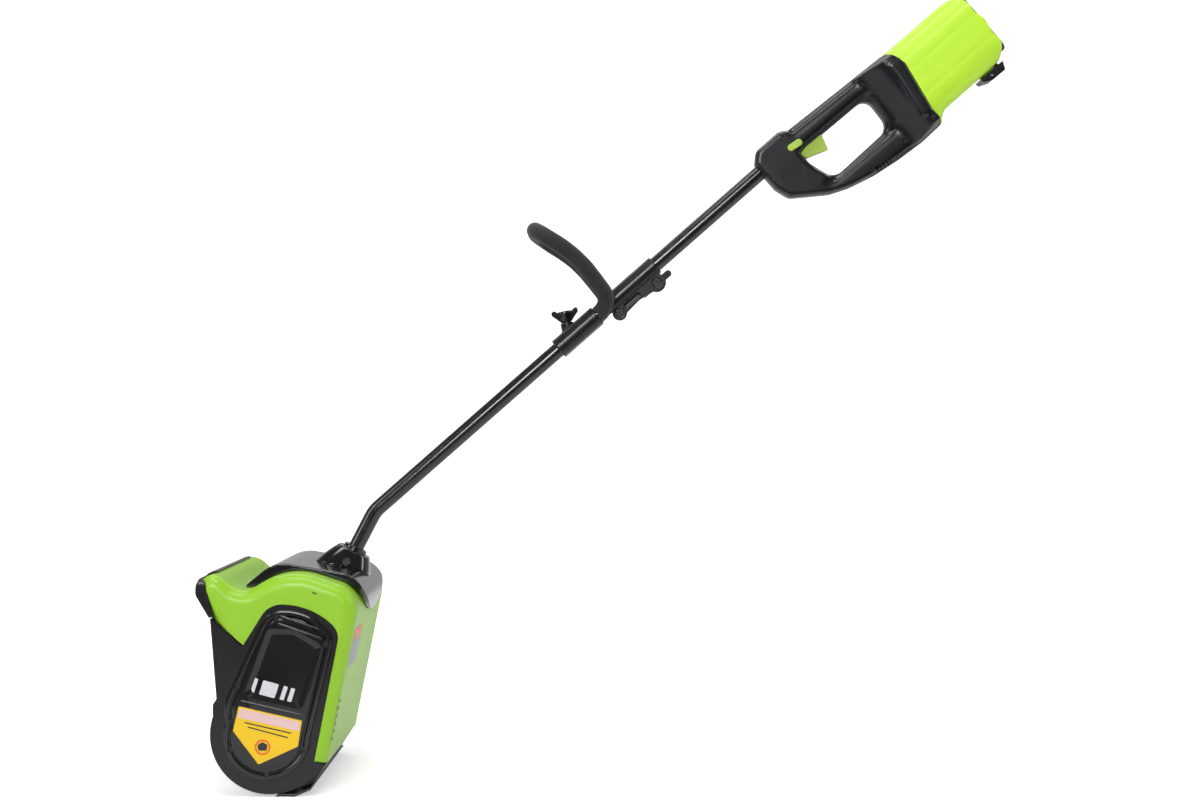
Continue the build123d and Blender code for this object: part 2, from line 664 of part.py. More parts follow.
def loop_part(start_u, outer, inner):
    """The loop's rod or its grip: a tube of those radii along the loop, from start_u on both sides."""
    left = [on_shaft(start_u, 0, -LEG_AT)] + [on_shaft(u, v, -y) for u, v, y in LOOP_POINTS]
    right = [on_shaft(u, v, y) for u, v, y in reversed(LOOP_POINTS)] + [on_shaft(start_u, 0, LEG_AT)]
    with BuildPart() as made:
        with BuildLine():
            FilletPolyline(*left, *right, radius=LOOP_RADII)
        with BuildSketch(Plane(origin=left[0], z_dir=ALONG)):
            Circle(outer)
            Circle(inner, mode=Mode.SUBTRACT)
        sweep()
    return made


loop_rod = loop_part(330, LEG_R, LEG_R - 1.5)
save(loop_rod, "loop_rod")

loop_grip = loop_part(CLAMP_TO + 1, FOAM_R, LEG_R + SEAT_GAP)
save(loop_grip, "loop_grip")

for name, side in (("aux_clamp_upper", 1), ("aux_clamp_lower", -1)):
    with BuildPart() as clamp:
        with BuildSketch(across_shaft(CLAMP_FROM)):
            RectangleRounded(2 * CLAMP_HALF_WIDE, 2 * CLAMP_HALF_HIGH, radius=12.5)
        extrude(amount=CLAMP_TO - CLAMP_FROM)
        if side > 0:
            with BuildSketch(across_knob(-24)):
                Circle(8.5)
            extrude(amount=14)
        with BuildSketch(across_shaft(CLAMP_FROM)):
            Circle(TUBE_R + RUN_GAP)
        extrude(amount=CLAMP_TO - CLAMP_FROM, mode=Mode.SUBTRACT)
        with BuildSketch(across_shaft(329)):
            with Locations((-LEG_AT, 0), (LEG_AT, 0)):
                Circle(LEG_R + SEAT_GAP)
        extrude(amount=CLAMP_TO - 329, mode=Mode.SUBTRACT)
        with BuildSketch(Plane(origin=on_shaft(0, -20), x_dir=ALONG, z_dir=UP)):
            with Locations(*CLAMP_SCREWS):
                Circle(1.7)
        extrude(amount=31, mode=Mode.SUBTRACT)
        with BuildSketch(Plane(origin=on_shaft(0, -20), x_dir=ALONG, z_dir=UP)):
            with Locations(*CLAMP_SCREWS):
                Circle(3.2)
        extrude(amount=9.5, mode=Mode.SUBTRACT)
        with BuildSketch(across_knob(-20)):
            Circle(BOLT_R + RUN_GAP)
        extrude(amount=12, mode=Mode.SUBTRACT)
        split(bisect_by=Plane(origin=on_shaft(0, CLAMP_SPLIT * side), x_dir=ALONG, z_dir=UP),
              keep=Keep.TOP if side > 0 else Keep.BOTTOM)
    save(clamp, name)

with BuildPart() as clamp_screws:
    for start, radius, length in ((-12.8, 2.9, 2.1), (-12.8, 1.6, 23)):
        with BuildSketch(Plane(origin=on_shaft(0, start), x_dir=ALONG, z_dir=UP)):
            with Locations(*CLAMP_SCREWS):
                Circle(radius)
        extrude(amount=length)
save(clamp_screws, "clamp_screws")

with BuildPart() as clamp_knob:
    with BuildSketch(across_knob(-9.6)):
        Circle(6.5)
    extrude(amount=12)
    with BuildSketch(across_knob(-5)):
        SlotOverall(31, 6)
    extrude(amount=9)
    with BuildSketch(across_knob(-9.6)):
        Circle(BOLT_R)
    extrude(amount=-7.5)
save(clamp_knob, "clamp_knob")

# ---------------------------------------------------------------- handle: two shells on the upper tube
GRIP_HALF = 16.5  # half the grip's thickness
BAY_HALF = 44.0  # half the width of the battery bay
SHELL_SPLIT = 0.15
FLARE_FROM = 838.0  # where the handle starts to widen towards the bay
FLARE_TO = 872.0
HANDLE_SCREWS = [(684, -24), (717, 15), (704, -58), (776, -93), (831, -92), (838, -2)]  # u and v
HANDLE_SCREW_R = 1.6
TRIGGER_PIN = (724.0, -8.0)
TRIGGER_HALF = 7.0
BUTTON_AT = (721.5, -3.5)
BUTTON_SIZE = (21.0, 9.0)
VENTS = [782, 787, 792, 797, 802]


def handle_outline(inset=0.0):
    """The D-handle's outer outline in the shaft's frame."""
    with BuildSketch() as made:
        with BuildLine():
            Polyline((HANDLE_AT, 11), (680, 24), (718, 24), (728, 17.5), (BAY_AT, 9.5), (891, -8), (892, -20),
                     (884, -62), (880, -85), (882, -108.5))
            ThreePointArc((882, -108.5), (800, -106), (715, -81))
            Polyline((715, -81), (672, -50), (HANDLE_AT, -30), (HANDLE_AT, 11))
        make_face()
        if inset:
            offset(amount=-inset)
    return made.sketch_local


def handle_window(grow=0.0):
    """The opening that the hand goes through."""
    with BuildSketch() as made:
        with BuildLine():
            FilletPolyline((722, -15.5), (833, -18), (830, -67), (733, -69), (722, -34), radius=(1, 14, 16, 18, 14),
                           close=True)
        make_face()
        if grow:
            offset(amount=grow)
    return made.sketch_local


def handle_solid(inset=0.0):
    """The handle without its window, inset all round: flat-sided, and flared towards the bay."""
    half = GRIP_HALF - inset
    bay_half = BAY_HALF - inset
    with BuildPart() as made:
        extrude(SHAFT_SIDE * handle_outline(inset), amount=bay_half, both=True)
        with BuildSketch(Plane(origin=BEND_POINT, x_dir=ALONG, z_dir=UP)):
            Polygon((600, half), (FLARE_FROM, half), (FLARE_TO, bay_half), (920, bay_half), (920, -bay_half),
                    (FLARE_TO, -bay_half), (FLARE_FROM, -half), (600, -half), align=None)
        extrude(amount=140, both=True, mode=Mode.INTERSECT)
    return made.part


def handle_cavity():
    """The space inside the handle, less the screw posts and the ribs that hold the tube."""
    with BuildPart() as made:
        add(handle_solid(WALL))
        extrude(SHAFT_SIDE * handle_window(WALL), amount=60, both=True, mode=Mode.SUBTRACT)
        with BuildSketch(SHAFT_SIDE):
            with Locations(*HANDLE_SCREWS):
                Circle(4.5)
        extrude(amount=60, both=True, mode=Mode.SUBTRACT)
        for rib_at in (682, 706):
            with BuildSketch(across_shaft(rib_at)):
                Rectangle(60, 200)
            extrude(amount=3, mode=Mode.SUBTRACT)
    return made.part


def half_space(side):
    """A big block on one side of the middle, a little away from it."""
    with BuildPart() as made:
        with BuildSketch(SHAFT_SIDE.offset(SHELL_SPLIT) if side < 0 else SHAFT_SIDE.offset(-SHELL_SPLIT)):
            Rectangle(2400, 600)
        extrude(amount=-100 * side)
    return made.part


for name, side in (("handle_left_shell", -1), ("handle_right_shell", 1)):
    with BuildPart() as shell:
        add(handle_solid())
        extrude(SHAFT_SIDE * handle_window(), amount=60, both=True, mode=Mode.SUBTRACT)
        add(handle_cavity(), mode=Mode.SUBTRACT)
        add(half_space(side), mode=Mode.INTERSECT)
        with BuildSketch(across_shaft(HANDLE_AT - 5)):
            Circle(TUBE_R + SEAT_GAP)
        extrude(amount=UPPER_TUBE_END - HANDLE_AT + 5, mode=Mode.SUBTRACT)
        with BuildSketch(SHAFT_SIDE):
            with Locations(*HANDLE_SCREWS):
                Circle(HANDLE_SCREW_R + 0.05)
        extrude(amount=GRIP_HALF + 1 if side < 0 else 4 - GRIP_HALF, mode=Mode.SUBTRACT)
        with BuildSketch(SHAFT_SIDE):
            with Locations((740, -18)):
                Rectangle(40, 20)
        extrude(amount=TRIGGER_HALF + 0.5, both=True, mode=Mode.SUBTRACT)
        with BuildSketch(SHAFT_SIDE):
            with Locations(*[(u, -99 - (u - 792) * 0.12) for u in VENTS]):
                SlotOverall(8, 2, rotation=78)
        extrude(amount=60, both=True, mode=Mode.SUBTRACT)
        if side < 0:
            with BuildSketch(shaft_side_at(2.4 - GRIP_HALF)):
                with Locations(*HANDLE_SCREWS):
                    Circle(3.6)
            extrude(amount=10, mode=Mode.SUBTRACT)
            with BuildSketch(shaft_side_at(-TRIGGER_HALF - 2)):
                with Locations(BUTTON_AT):
                    SlotOverall(BUTTON_SIZE[0] + 0.6, BUTTON_SIZE[1] + 0.6, rotation=-8)
            extrude(amount=20, mode=Mode.SUBTRACT)
    save(shell, name)

with BuildPart() as handle_screws:
    with BuildSketch(shaft_side_at(2.4 - GRIP_HALF)):
        with Locations(*HANDLE_SCREWS):
            Circle(HANDLE_SCREW_R)
    extrude(amount=-26)
    with BuildSketch(shaft_side_at(2.4 - GRIP_HALF)):
        with Locations(*HANDLE_SCREWS):
            Circle(3.2)
            RegularPolygon(1.6, 6, mode=Mode.SUBTRACT)
    extrude(amount=1.9)
save(handle_screws, "handle_screws")

# ---------------------------------------------------------------- trigger, lock-off button and electrics
PIN_R = 2.0
SWITCH_AT = (741.0, 759.0)  # front and rear of the switch along the shaft
SWITCH_V = 5.0

with BuildPart() as trigger:
    with BuildSketch(SHAFT_SIDE):
        with BuildLine():
            Polyline((720.5, -4.5), (728, -4), (736, -9.5), (756.5, -10.5), (758, -17), (752, -36), (723, -25.5),
                     (720.5, -16), (720.5, -4.5))
        make_face()
    extrude(amount=TRIGGER_HALF, both=True)
    fillet(trigger.edges().filter_by(Axis.Y).group_by(Axis.Z)[0], 3)
    with BuildSketch(SHAFT_SIDE):
        with Locations(TRIGGER_PIN):
            Circle(PIN_R + RUN_GAP)
    extrude(amount=TRIGGER_HALF, both=True, mode=Mode.SUBTRACT)
save(trigger, "trigger")

with BuildPart() as trigger_pin:
    with BuildSketch(shaft_side_at(GRIP_HALF - WALL)):
        with Locations(TRIGGER_PIN):
            Circle(PIN_R)
    extrude(amount=GRIP_HALF - WALL + TRIGGER_HALF + 0.7)
save(trigger_pin, "trigger_pin")

with BuildPart() as lock_off_button:
    with BuildSketch(shaft_side_at(-TRIGGER_HALF - 3.8)):
        with Locations(BUTTON_AT):
            SlotOverall(*BUTTON_SIZE, rotation=-8)
    extrude(amount=GRIP_HALF - TRIGGER_HALF - 3.8 + 3)
    fillet(lock_off_button.faces().sort_by(Axis.Y)[0].edges(), 1)
save(lock_off_button, "lock_off_button")

with BuildPart() as micro_switch:
    with BuildSketch(shaft_side_at(4)):
        with Locations(((SWITCH_AT[0] + SWITCH_AT[1]) / 2, SWITCH_V)):
            Rectangle(SWITCH_AT[1] - SWITCH_AT[0], 9)
    extrude(amount=8)
    with BuildSketch(shaft_side_at(1.5)):
        with Locations((SWITCH_AT[1] - 3, SWITCH_V - 5)):
            Rectangle(3, 3)
    extrude(amount=3)
save(micro_switch, "micro_switch")

with BuildPart() as upper_lead:
    with BuildLine():
        FilletPolyline(on_shaft(JOINT_AT + JOINT_GAP + PLUG_LONG + 0.1), on_shaft(690), on_shaft(712, SWITCH_V),
                       on_shaft(SWITCH_AT[0] - 0.1, SWITCH_V), radius=40)
    with BuildSketch(across_shaft(JOINT_AT + JOINT_GAP + PLUG_LONG + 0.1)):
        Circle(LEAD_R)
    sweep()
save(upper_lead, "upper_lead")

with BuildPart() as control_board:
    with BuildSketch(across_shaft(864)):
        with Locations((0, -45)):
            Rectangle(50, 70)
    extrude(amount=1.6)
    with BuildSketch(across_shaft(856)):
        with Locations((-12, -30), (12, -30), (0, -60)):
            Rectangle(14, 16)
    extrude(amount=8)
save(control_board, "control_board")

# ---------------------------------------------------------------- battery bay, battery and its latch
BAY_WALL = 3.5
BAY_FRONT = 893.5
BAY_CORNER = 22.0
BATTERY_FROM = 903.0
BATTERY_TO = 1006.0
LATCH_PIN = (972.0, -103.0)
LATCH_HALF = 19.0
EAR_AT = 11.0  # distance of the latch's two ears from the middle
EAR_HALF = 2.0


def bay_outline(inset=0.0):
    """The battery bay in side view: straight top and bottom, rounded end."""
    with BuildSketch() as made:
        with BuildLine():
            FilletPolyline((BAY_FRONT, 8.5), (998, 6.5), (1010.5, -18), (1010.5, -62), (997, -96), (BAY_FRONT, -94),
                           radius=(1, 14, 22, 26, 14, 1), close=True)
        make_face()
        if inset:
            offset(amount=-inset)
    return made.sketch_local


def bay_solid(inset=0.0, from_u=BAY_FRONT, to_u=1012.0):
    """The bay as a rounded block, inset all round, from from_u to to_u."""
    with BuildPart() as made:
        with BuildSketch(across_shaft(from_u)):
            with Locations((0, -44)):
                RectangleRounded(2 * (BAY_HALF - inset), 106 - 2 * inset, radius=BAY_CORNER - inset)
        extrude(amount=to_u - from_u)
    return made.part


def bay_skirt():
    """The bay's front rim, which closes against the handle's curved rear edge and flares down behind it."""
    with BuildPart() as made:
        add(bay_solid(0, 876))
        add(bay_solid(BAY_WALL, 870, BAY_FRONT), mode=Mode.SUBTRACT)
        with BuildSketch(SHAFT_SIDE):
            with BuildLine():
                Polyline((884.3, 9.5), (891.3, -8), (892.3, -20), (884.3, -62), (880.4, -85), (881.5, -97.1),
                         (896, -97.1), (896, 9.5), (884.3, 9.5))
            make_face()
        extrude(amount=60, both=True, mode=Mode.INTERSECT)
        with BuildSketch(SHAFT_SIDE):
            with BuildLine():
                Polyline((882.3, -93), (882.3, -108), (885, -108))
                ThreePointArc((885, -108), (893, -101), (906, -96))
                Polyline((906, -96), (906, -93), (882.3, -93))
            make_face()
        extrude(amount=BAY_HALF - BAY_CORNER, both=True)
    return made.part


with BuildPart() as battery_bay:
    add(bay_solid())
    extrude(SHAFT_SIDE * bay_outline(), amount=100, both=True, mode=Mode.INTERSECT)
    add(bay_solid(BAY_WALL + 1, BAY_FRONT + BAY_WALL, 1020), mode=Mode.SUBTRACT)
    add(bay_skirt())
    for side in (-1, 1):
        with BuildSketch(shaft_side_at(side * EAR_AT + EAR_HALF)):
            Polygon((964, -92), (980, -92), (976, -107), (968, -107), align=None)
        extrude(amount=2 * EAR_HALF)
    with BuildSketch(SHAFT_SIDE):
        with Locations(LATCH_PIN):
            Circle(1.5 + SEAT_GAP)
    extrude(amount=30, both=True, mode=Mode.SUBTRACT)
    with BuildSketch(across_shaft(982)):
        with Locations((0, -92)):
            Rectangle(20, 12)
    extrude(amount=11, mode=Mode.SUBTRACT)
save(battery_bay, "battery_bay")

with BuildPart() as battery_case:
    with BuildSketch(across_shaft(BATTERY_FROM)):
        with Locations((0, -44)):
            RectangleRounded(76, 90, radius=12)
    extrude(amount=BATTERY_TO - BATTERY_FROM)
    fillet(battery_case.faces().sort_by(lambda f: f.center().dot(ALONG))[-1].edges(), 3)
    with BuildSketch(across_shaft(BATTERY_FROM)):
        with Locations((0, -44)):
            Rectangle(50, 44)
    extrude(amount=8, mode=Mode.SUBTRACT)
save(battery_case, "battery_case")

with BuildPart() as terminal_block:
    with BuildSketch(across_shaft(BAY_FRONT + BAY_WALL)):
        with Locations((0, -44)):
            Rectangle(46, 40)
    extrude(amount=4)
    with BuildSketch(across_shaft(BAY_FRONT + BAY_WALL + 4)):
        with Locations((-15, -44), (0, -44), (15, -44)):
            Rectangle(1.5, 24)
    extrude(amount=8)
save(terminal_block, "terminal_block")

with BuildPart() as latch_pin:
    with BuildSketch(shaft_side_at(LATCH_HALF - 2)):
        with Locations(LATCH_PIN):
            Circle(1.5)
    extrude(amount=2 * LATCH_HALF - 4)
save(latch_pin, "latch_pin")

with BuildPart() as battery_latch:
    with BuildSketch(SHAFT_SIDE):
        Polygon((957, -98.5), (995, -98.5), (990, -109.5), (970, -109), (958, -104), align=None)
    extrude(amount=LATCH_HALF, both=True)
    with BuildSketch(shaft_side_at(8)):
        Polygon((985, -100), (985, -93.5), (990, -95.5), (990, -100), align=None)
    extrude(amount=16)
    with BuildSketch(SHAFT_SIDE):
        with Locations(LATCH_PIN):
            Circle(1.5 + RUN_GAP)
    extrude(amount=LATCH_HALF, both=True, mode=Mode.SUBTRACT)
    for side in (-1, 1):
        with BuildSketch(shaft_side_at(side * EAR_AT + EAR_HALF + 0.5)):
            Polygon((960.5, -98), (983.5, -98), (979, -108.3), (965, -108.3), align=None)
        extrude(amount=2 * EAR_HALF + 1, mode=Mode.SUBTRACT)
save(battery_latch, "battery_latch")
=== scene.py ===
"""Looks of the cordless snow shovel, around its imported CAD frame. Metres; -X is forward, -Y the left side."""
import json
from math import atan2, cos, exp, pi, radians, sin, tan

import bmesh
import bpy
from mathutils import Matrix, Vector
from mathutils.geometry import tessellate_polygon


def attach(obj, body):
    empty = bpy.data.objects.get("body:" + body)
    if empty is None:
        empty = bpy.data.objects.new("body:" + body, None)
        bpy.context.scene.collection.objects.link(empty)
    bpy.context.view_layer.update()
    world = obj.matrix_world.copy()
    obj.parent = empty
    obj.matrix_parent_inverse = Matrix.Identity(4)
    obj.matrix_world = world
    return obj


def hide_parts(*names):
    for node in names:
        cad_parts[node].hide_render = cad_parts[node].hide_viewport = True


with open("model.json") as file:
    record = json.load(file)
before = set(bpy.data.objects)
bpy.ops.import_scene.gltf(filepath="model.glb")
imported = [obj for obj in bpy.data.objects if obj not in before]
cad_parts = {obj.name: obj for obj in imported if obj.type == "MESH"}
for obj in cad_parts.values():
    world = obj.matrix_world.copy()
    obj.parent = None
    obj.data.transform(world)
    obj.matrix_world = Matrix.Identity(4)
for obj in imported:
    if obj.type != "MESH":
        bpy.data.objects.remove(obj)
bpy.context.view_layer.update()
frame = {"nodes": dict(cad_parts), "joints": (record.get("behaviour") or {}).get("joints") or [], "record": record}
nodes = frame["nodes"]
joints = {joint["name"]: joint for joint in frame["joints"]}
scene = bpy.context.scene
MM = 0.001

# ---------------------------------------------------------------- the shaft's frame, from the joints
ALONG = Vector(joints["shaft_slide"]["axis"]).normalized()
UP = Vector((-ALONG.z, 0, ALONG.x))
RIGHT = Vector((0, 1, 0))
REAR_BOSS = (471, -19)  # the coupler's rear boss, along the shaft and above its axis, in mm
BEND = Vector(joints["coupler_knob_turn"]["pos_m"]) - (ALONG * REAR_BOSS[0] + UP * REAR_BOSS[1]) * MM


def shaft(u, v, y=0.0):
    """A point u mm along the shaft from its bend, v mm above its axis and y mm to the right."""
    return BEND + (ALONG * u + UP * v + RIGHT * y) * MM


def head(x, z, y=0.0):
    """A point of the head, from millimetres."""
    return Vector((x, y, z)) * MM


# ---------------------------------------------------------------- materials
def new_material(name, color, roughness, metallic=0.0, specular=0.5):
    """A material with one Principled shader; returns the material, its nodes, its links and the shader."""
    made = bpy.data.materials.new(name)
    made.use_nodes = True
    tree = made.node_tree
    shader = tree.nodes["Principled BSDF"]
    shader.inputs["Base Color"].default_value = (*color, 1)
    shader.inputs["Roughness"].default_value = roughness
    shader.inputs["Metallic"].default_value = metallic
    shader.inputs["Specular IOR Level"].default_value = specular
    return made, tree, shader


def noise_node(tree, scale, detail=4.0, kind="ShaderNodeTexNoise"):
    """A noise texture over object coordinates, in features per metre."""
    place = tree.nodes.new("ShaderNodeTexCoord")
    texture = tree.nodes.new(kind)
    texture.inputs["Scale"].default_value = scale
    if "Detail" in texture.inputs:
        texture.inputs["Detail"].default_value = detail
    tree.links.new(place.outputs["Object"], texture.inputs["Vector"])
    return texture


def ramp(tree, source, low, high):
    """Maps a 0 to 1 value to a range."""
    mapped = tree.nodes.new("ShaderNodeMapRange")
    mapped.inputs["From Min"].default_value = 0.3
    mapped.inputs["From Max"].default_value = 0.7
    mapped.inputs["To Min"].default_value = low
    mapped.inputs["To Max"].default_value = high
    tree.links.new(source, mapped.inputs["Value"])
    return mapped.outputs["Result"]


def tint(tree, shader, source, first, second):
    """Blends the base colour between two colours by a texture."""
    mixed = tree.nodes.new("ShaderNodeMix")
    mixed.data_type = "RGBA"
    mixed.inputs[6].default_value = (*first, 1)
    mixed.inputs[7].default_value = (*second, 1)
    tree.links.new(source, mixed.inputs[0])
    tree.links.new(mixed.outputs[2], shader.inputs["Base Color"])


def bump(tree, shader, source, strength, distance):
    """Feeds a height into the shader's normal."""
    node = tree.nodes.new("ShaderNodeBump")
    node.inputs["Strength"].default_value = strength
    node.inputs["Distance"].default_value = distance
    tree.links.new(source, node.inputs["Height"])
    tree.links.new(node.outputs["Normal"], shader.inputs["Normal"])


def shade(color, factor):
    """The colour made darker or lighter."""
    return tuple(min(1, channel * factor) for channel in color)


def plastic(name, color, roughness, grain=900, grain_depth=0.02, coat=0.0, wander=0.03):
    """Moulded plastic: faint mottled colour, uneven sheen and a fine moulded grain."""
    made, tree, shader = new_material(name, color, roughness)
    broad = noise_node(tree, 14, 3)
    tint(tree, shader, broad.outputs["Fac"], shade(color, 1 - wander), shade(color, 1 + wander))
    smudge = noise_node(tree, 45, 5)
    tree.links.new(ramp(tree, smudge.outputs["Fac"], roughness * 0.92, min(1, roughness * 1.1)),
                   shader.inputs["Roughness"])
    fine = noise_node(tree, grain, 2)
    bump(tree, shader, fine.outputs["Fac"], grain_depth, 0.0004)
    shader.inputs["Coat Weight"].default_value = coat
    shader.inputs["Coat Roughness"].default_value = 0.05
    return made


def painted_tube(name, color, roughness):
    """Gloss paint on drawn tube: a slight orange peel under a clear coat."""
    made, tree, shader = new_material(name, color, roughness)
    peel = noise_node(tree, 260, 2)
    bump(tree, shader, peel.outputs["Fac"], 0.06, 0.0004)
    scuff = noise_node(tree, 70, 6)
    worn = ramp(tree, scuff.outputs["Fac"], roughness * 0.8, roughness * 1.5)
    tree.links.new(worn, shader.inputs["Roughness"])
    tint(tree, shader, scuff.outputs["Fac"], shade(color, 0.85), shade(color, 1.15))
    shader.inputs["Coat Weight"].default_value = 0.5
    shader.inputs["Coat Roughness"].default_value = 0.04
    return made


def foam(name, color):
    """Closed-cell foam: tiny pits and a dry sheen."""
    made, tree, shader = new_material(name, color, 0.78)
    cells = noise_node(tree, 1500, 2, "ShaderNodeTexVoronoi")
    broad = noise_node(tree, 60, 3)
    tint(tree, shader, broad.outputs["Fac"], shade(color, 0.75), shade(color, 1.3))
    bump(tree, shader, cells.outputs["Distance"], 0.25, 0.0005)
    shader.inputs["Sheen Weight"].default_value = 0.15
    shader.inputs["Sheen Roughness"].default_value = 0.5
    return made


def metal(name, color, roughness, scratch=240):
    """Turned or drawn metal with fine uneven marks."""
    made, tree, shader = new_material(name, color, roughness, metallic=1.0)
    marks = noise_node(tree, scratch, 8)
    uneven = ramp(tree, marks.outputs["Fac"], roughness * 0.7, roughness * 1.35)
    tree.links.new(uneven, shader.inputs["Roughness"])
    tint(tree, shader, marks.outputs["Fac"], shade(color, 0.85), shade(color, 1.1))
    bump(tree, shader, marks.outputs["Fac"], 0.05, 0.0003)
    return made


LIME = (0.27, 0.54, 0.010)
PALE_LIME = (0.46, 0.76, 0.030)
BLACK = (0.005, 0.005, 0.006)

finishes = {
    "green_shell": plastic("green_shell", LIME, 0.42, coat=0.12),
    "bay_green": plastic("bay_green", PALE_LIME, 0.45, coat=0.05),
    "trigger_green": plastic("trigger_green", (0.36, 0.52, 0.06), 0.45),
    "gloss_black": plastic("gloss_black", BLACK, 0.15, grain_depth=0.0, coat=0.3, wander=0.05),
    "satin_black": plastic("satin_black", (0.006, 0.006, 0.007), 0.28, grain_depth=0.0, wander=0.0),
    "handle_black": plastic("handle_black", (0.005, 0.005, 0.007), 0.29, grain=1400, grain_depth=0.0,
                            wander=0.0),
    "scraper_black": plastic("scraper_black", (0.016, 0.016, 0.016), 0.4, grain_depth=0.15),
    "tube_black": painted_tube("tube_black", (0.008, 0.008, 0.009), 0.2),
    "foam": foam("foam", (0.010, 0.010, 0.011)),
    "paddle_rubber": plastic("paddle_rubber", (0.02, 0.02, 0.02), 0.6, grain=500, grain_depth=0.15),
    "pulley_grey": plastic("pulley_grey", (0.09, 0.09, 0.10), 0.45),
    "steel": metal("steel", (0.55, 0.55, 0.56), 0.3),
    "black_screw": metal("black_screw", (0.05, 0.05, 0.05), 0.35),
    "cable": plastic("cable", (0.015, 0.015, 0.015), 0.5),
    "board": plastic("board", (0.01, 0.12, 0.04), 0.4),
    "battery_black": plastic("battery_black", (0.02, 0.02, 0.022), 0.5, grain_depth=0.2),
    "label_yellow": plastic("label_yellow", (0.82, 0.52, 0.004), 0.35, grain_depth=0.0),
    "label_pink": plastic("label_pink", (0.72, 0.50, 0.48), 0.35, grain_depth=0.0),
    "label_orange": plastic("label_orange", (0.75, 0.14, 0.01), 0.35, grain_depth=0.0),
    "label_dark": plastic("label_dark", (0.02, 0.02, 0.02), 0.4, grain_depth=0.0),
    "label_grey": plastic("label_grey", (0.30, 0.31, 0.33), 0.4, grain_depth=0.0),
    "silver_mark": plastic("silver_mark", (0.62, 0.62, 0.65), 0.3, grain_depth=0.0),
}
slot_of = {part["node"]: part["material_slot"] for part in frame["record"]["subparts"]}


def dress(piece, finish):
    """Gives a piece one finish on all its faces."""
    piece.data.materials.clear()
    piece.data.materials.append(finishes[finish] if isinstance(finish, str) else finish)


for name, node in nodes.items():
    dress(node, slot_of[name])

# ---------------------------------------------------------------- mesh helpers
def rounded(points, radii, steps=7):
    """A closed outline with its corners turned into arcs."""
    made = []
    count = len(points)
    for i, corner in enumerate(points):
        radius = radii[i] if isinstance(radii, (list, tuple)) else radii
        here = Vector(corner)
        before = Vector(points[i - 1]) - here
        after = Vector(points[(i + 1) % count]) - here
        half = before.angle(after) / 2
        reach = min(radius / tan(half), 0.48 * before.length, 0.48 * after.length) if radius else 0
        if reach < 1e-6 or half > radians(89):
            made.append(tuple(here))
            continue
        first = here + before.normalized() * reach
        last = here + after.normalized() * reach
        middle = here + (before.normalized() + after.normalized()).normalized() * (reach / cos(half))
        turn = atan2((first - middle).cross(last - middle), (first - middle).dot(last - middle))
        for step in range(steps + 1):
            swing = Matrix.Rotation(turn * step / steps, 2)
            made.append(tuple(middle + swing @ (first - middle)))
    return made


def new_object(name, verts, faces, smooth=False):
    """A mesh object with outward normals."""
    mesh = bpy.data.meshes.new(name)
    mesh.from_pydata([tuple(v) for v in verts], [], faces)
    edit = bmesh.new()
    edit.from_mesh(mesh)
    bmesh.ops.remove_doubles(edit, verts=edit.verts, dist=1e-6)
    bmesh.ops.recalc_face_normals(edit, faces=edit.faces)
    for face in edit.faces:
        face.smooth = smooth
    edit.to_mesh(mesh)
    edit.free()
    made = bpy.data.objects.new(name, mesh)
    scene.collection.objects.link(made)
    return made


def full_turn(steps):
    """Evenly spaced angles round a circle."""
    return [2 * pi * k / steps for k in range(steps)]


def circle(a, b, radius, steps=40):
    """A round outline about a point."""
    return [(a + radius * cos(turn), b + radius * sin(turn)) for turn in full_turn(steps)]


def prism(name, loops, near, far, place):
    """An outline and its holes, extruded between two depths; place maps (a, b, depth) to a point."""
    flat = [point for loop in loops for point in loop]
    count = len(flat)
    triangles = tessellate_polygon([[Vector((a, b, 0)) for a, b in loop] for loop in loops])
    verts = [place(a, b, near) for a, b in flat] + [place(a, b, far) for a, b in flat]
    faces = [tuple(t) for t in triangles] + [tuple(i + count for i in reversed(t)) for t in triangles]
    start = 0
    for loop in loops:
        size = len(loop)
        for i in range(size):
            a, b = start + i, start + (i + 1) % size
            faces.append((a, b, b + count, a + count))
        start += size
    return new_object(name, verts, faces)


def rings(name, sections, smooth=True):
    """A closed skin over a list of equal-length rings of points."""
    size = len(sections[0])
    verts = [point for section in sections for point in section]
    faces = []
    for s in range(len(sections) - 1):
        for i in range(size):
            j = (i + 1) % size
            faces.append((s * size + i, s * size + j, (s + 1) * size + j, (s + 1) * size + i))
    faces.append(tuple(reversed(range(size))))
    faces.append(tuple((len(sections) - 1) * size + i for i in range(size)))
    return new_object(name, verts, faces, smooth)


def settle(piece):
    """Applies a piece's modifiers."""
    graph = bpy.context.evaluated_depsgraph_get()
    mesh = bpy.data.meshes.new_from_object(piece.evaluated_get(graph))
    piece.modifiers.clear()
    old = piece.data
    piece.data = mesh
    bpy.data.meshes.remove(old)
    return piece


def relax(piece, passes):
    """Evens out the small waves in a piece's skin."""
    smooth = piece.modifiers.new("smooth", "SMOOTH")
    smooth.factor = 0.5
    smooth.iterations = passes
    return settle(piece)


def soften(piece, voxel, passes):
    """Rebuilds a piece as one even skin and rounds its edges."""
    remesh = piece.modifiers.new("voxel", "REMESH")
    remesh.mode = "VOXEL"
    remesh.voxel_size = voxel * MM
    remesh.use_smooth_shade = True
    return relax(piece, passes)


def combine(piece, tool, operation):
    """A boolean with another piece, which is used up."""
    cut = piece.modifiers.new("cut", "BOOLEAN")
    cut.object = tool
    cut.operation = operation
    cut.solver = "EXACT"
    settle(piece)
    bpy.data.objects.remove(tool)
    return piece


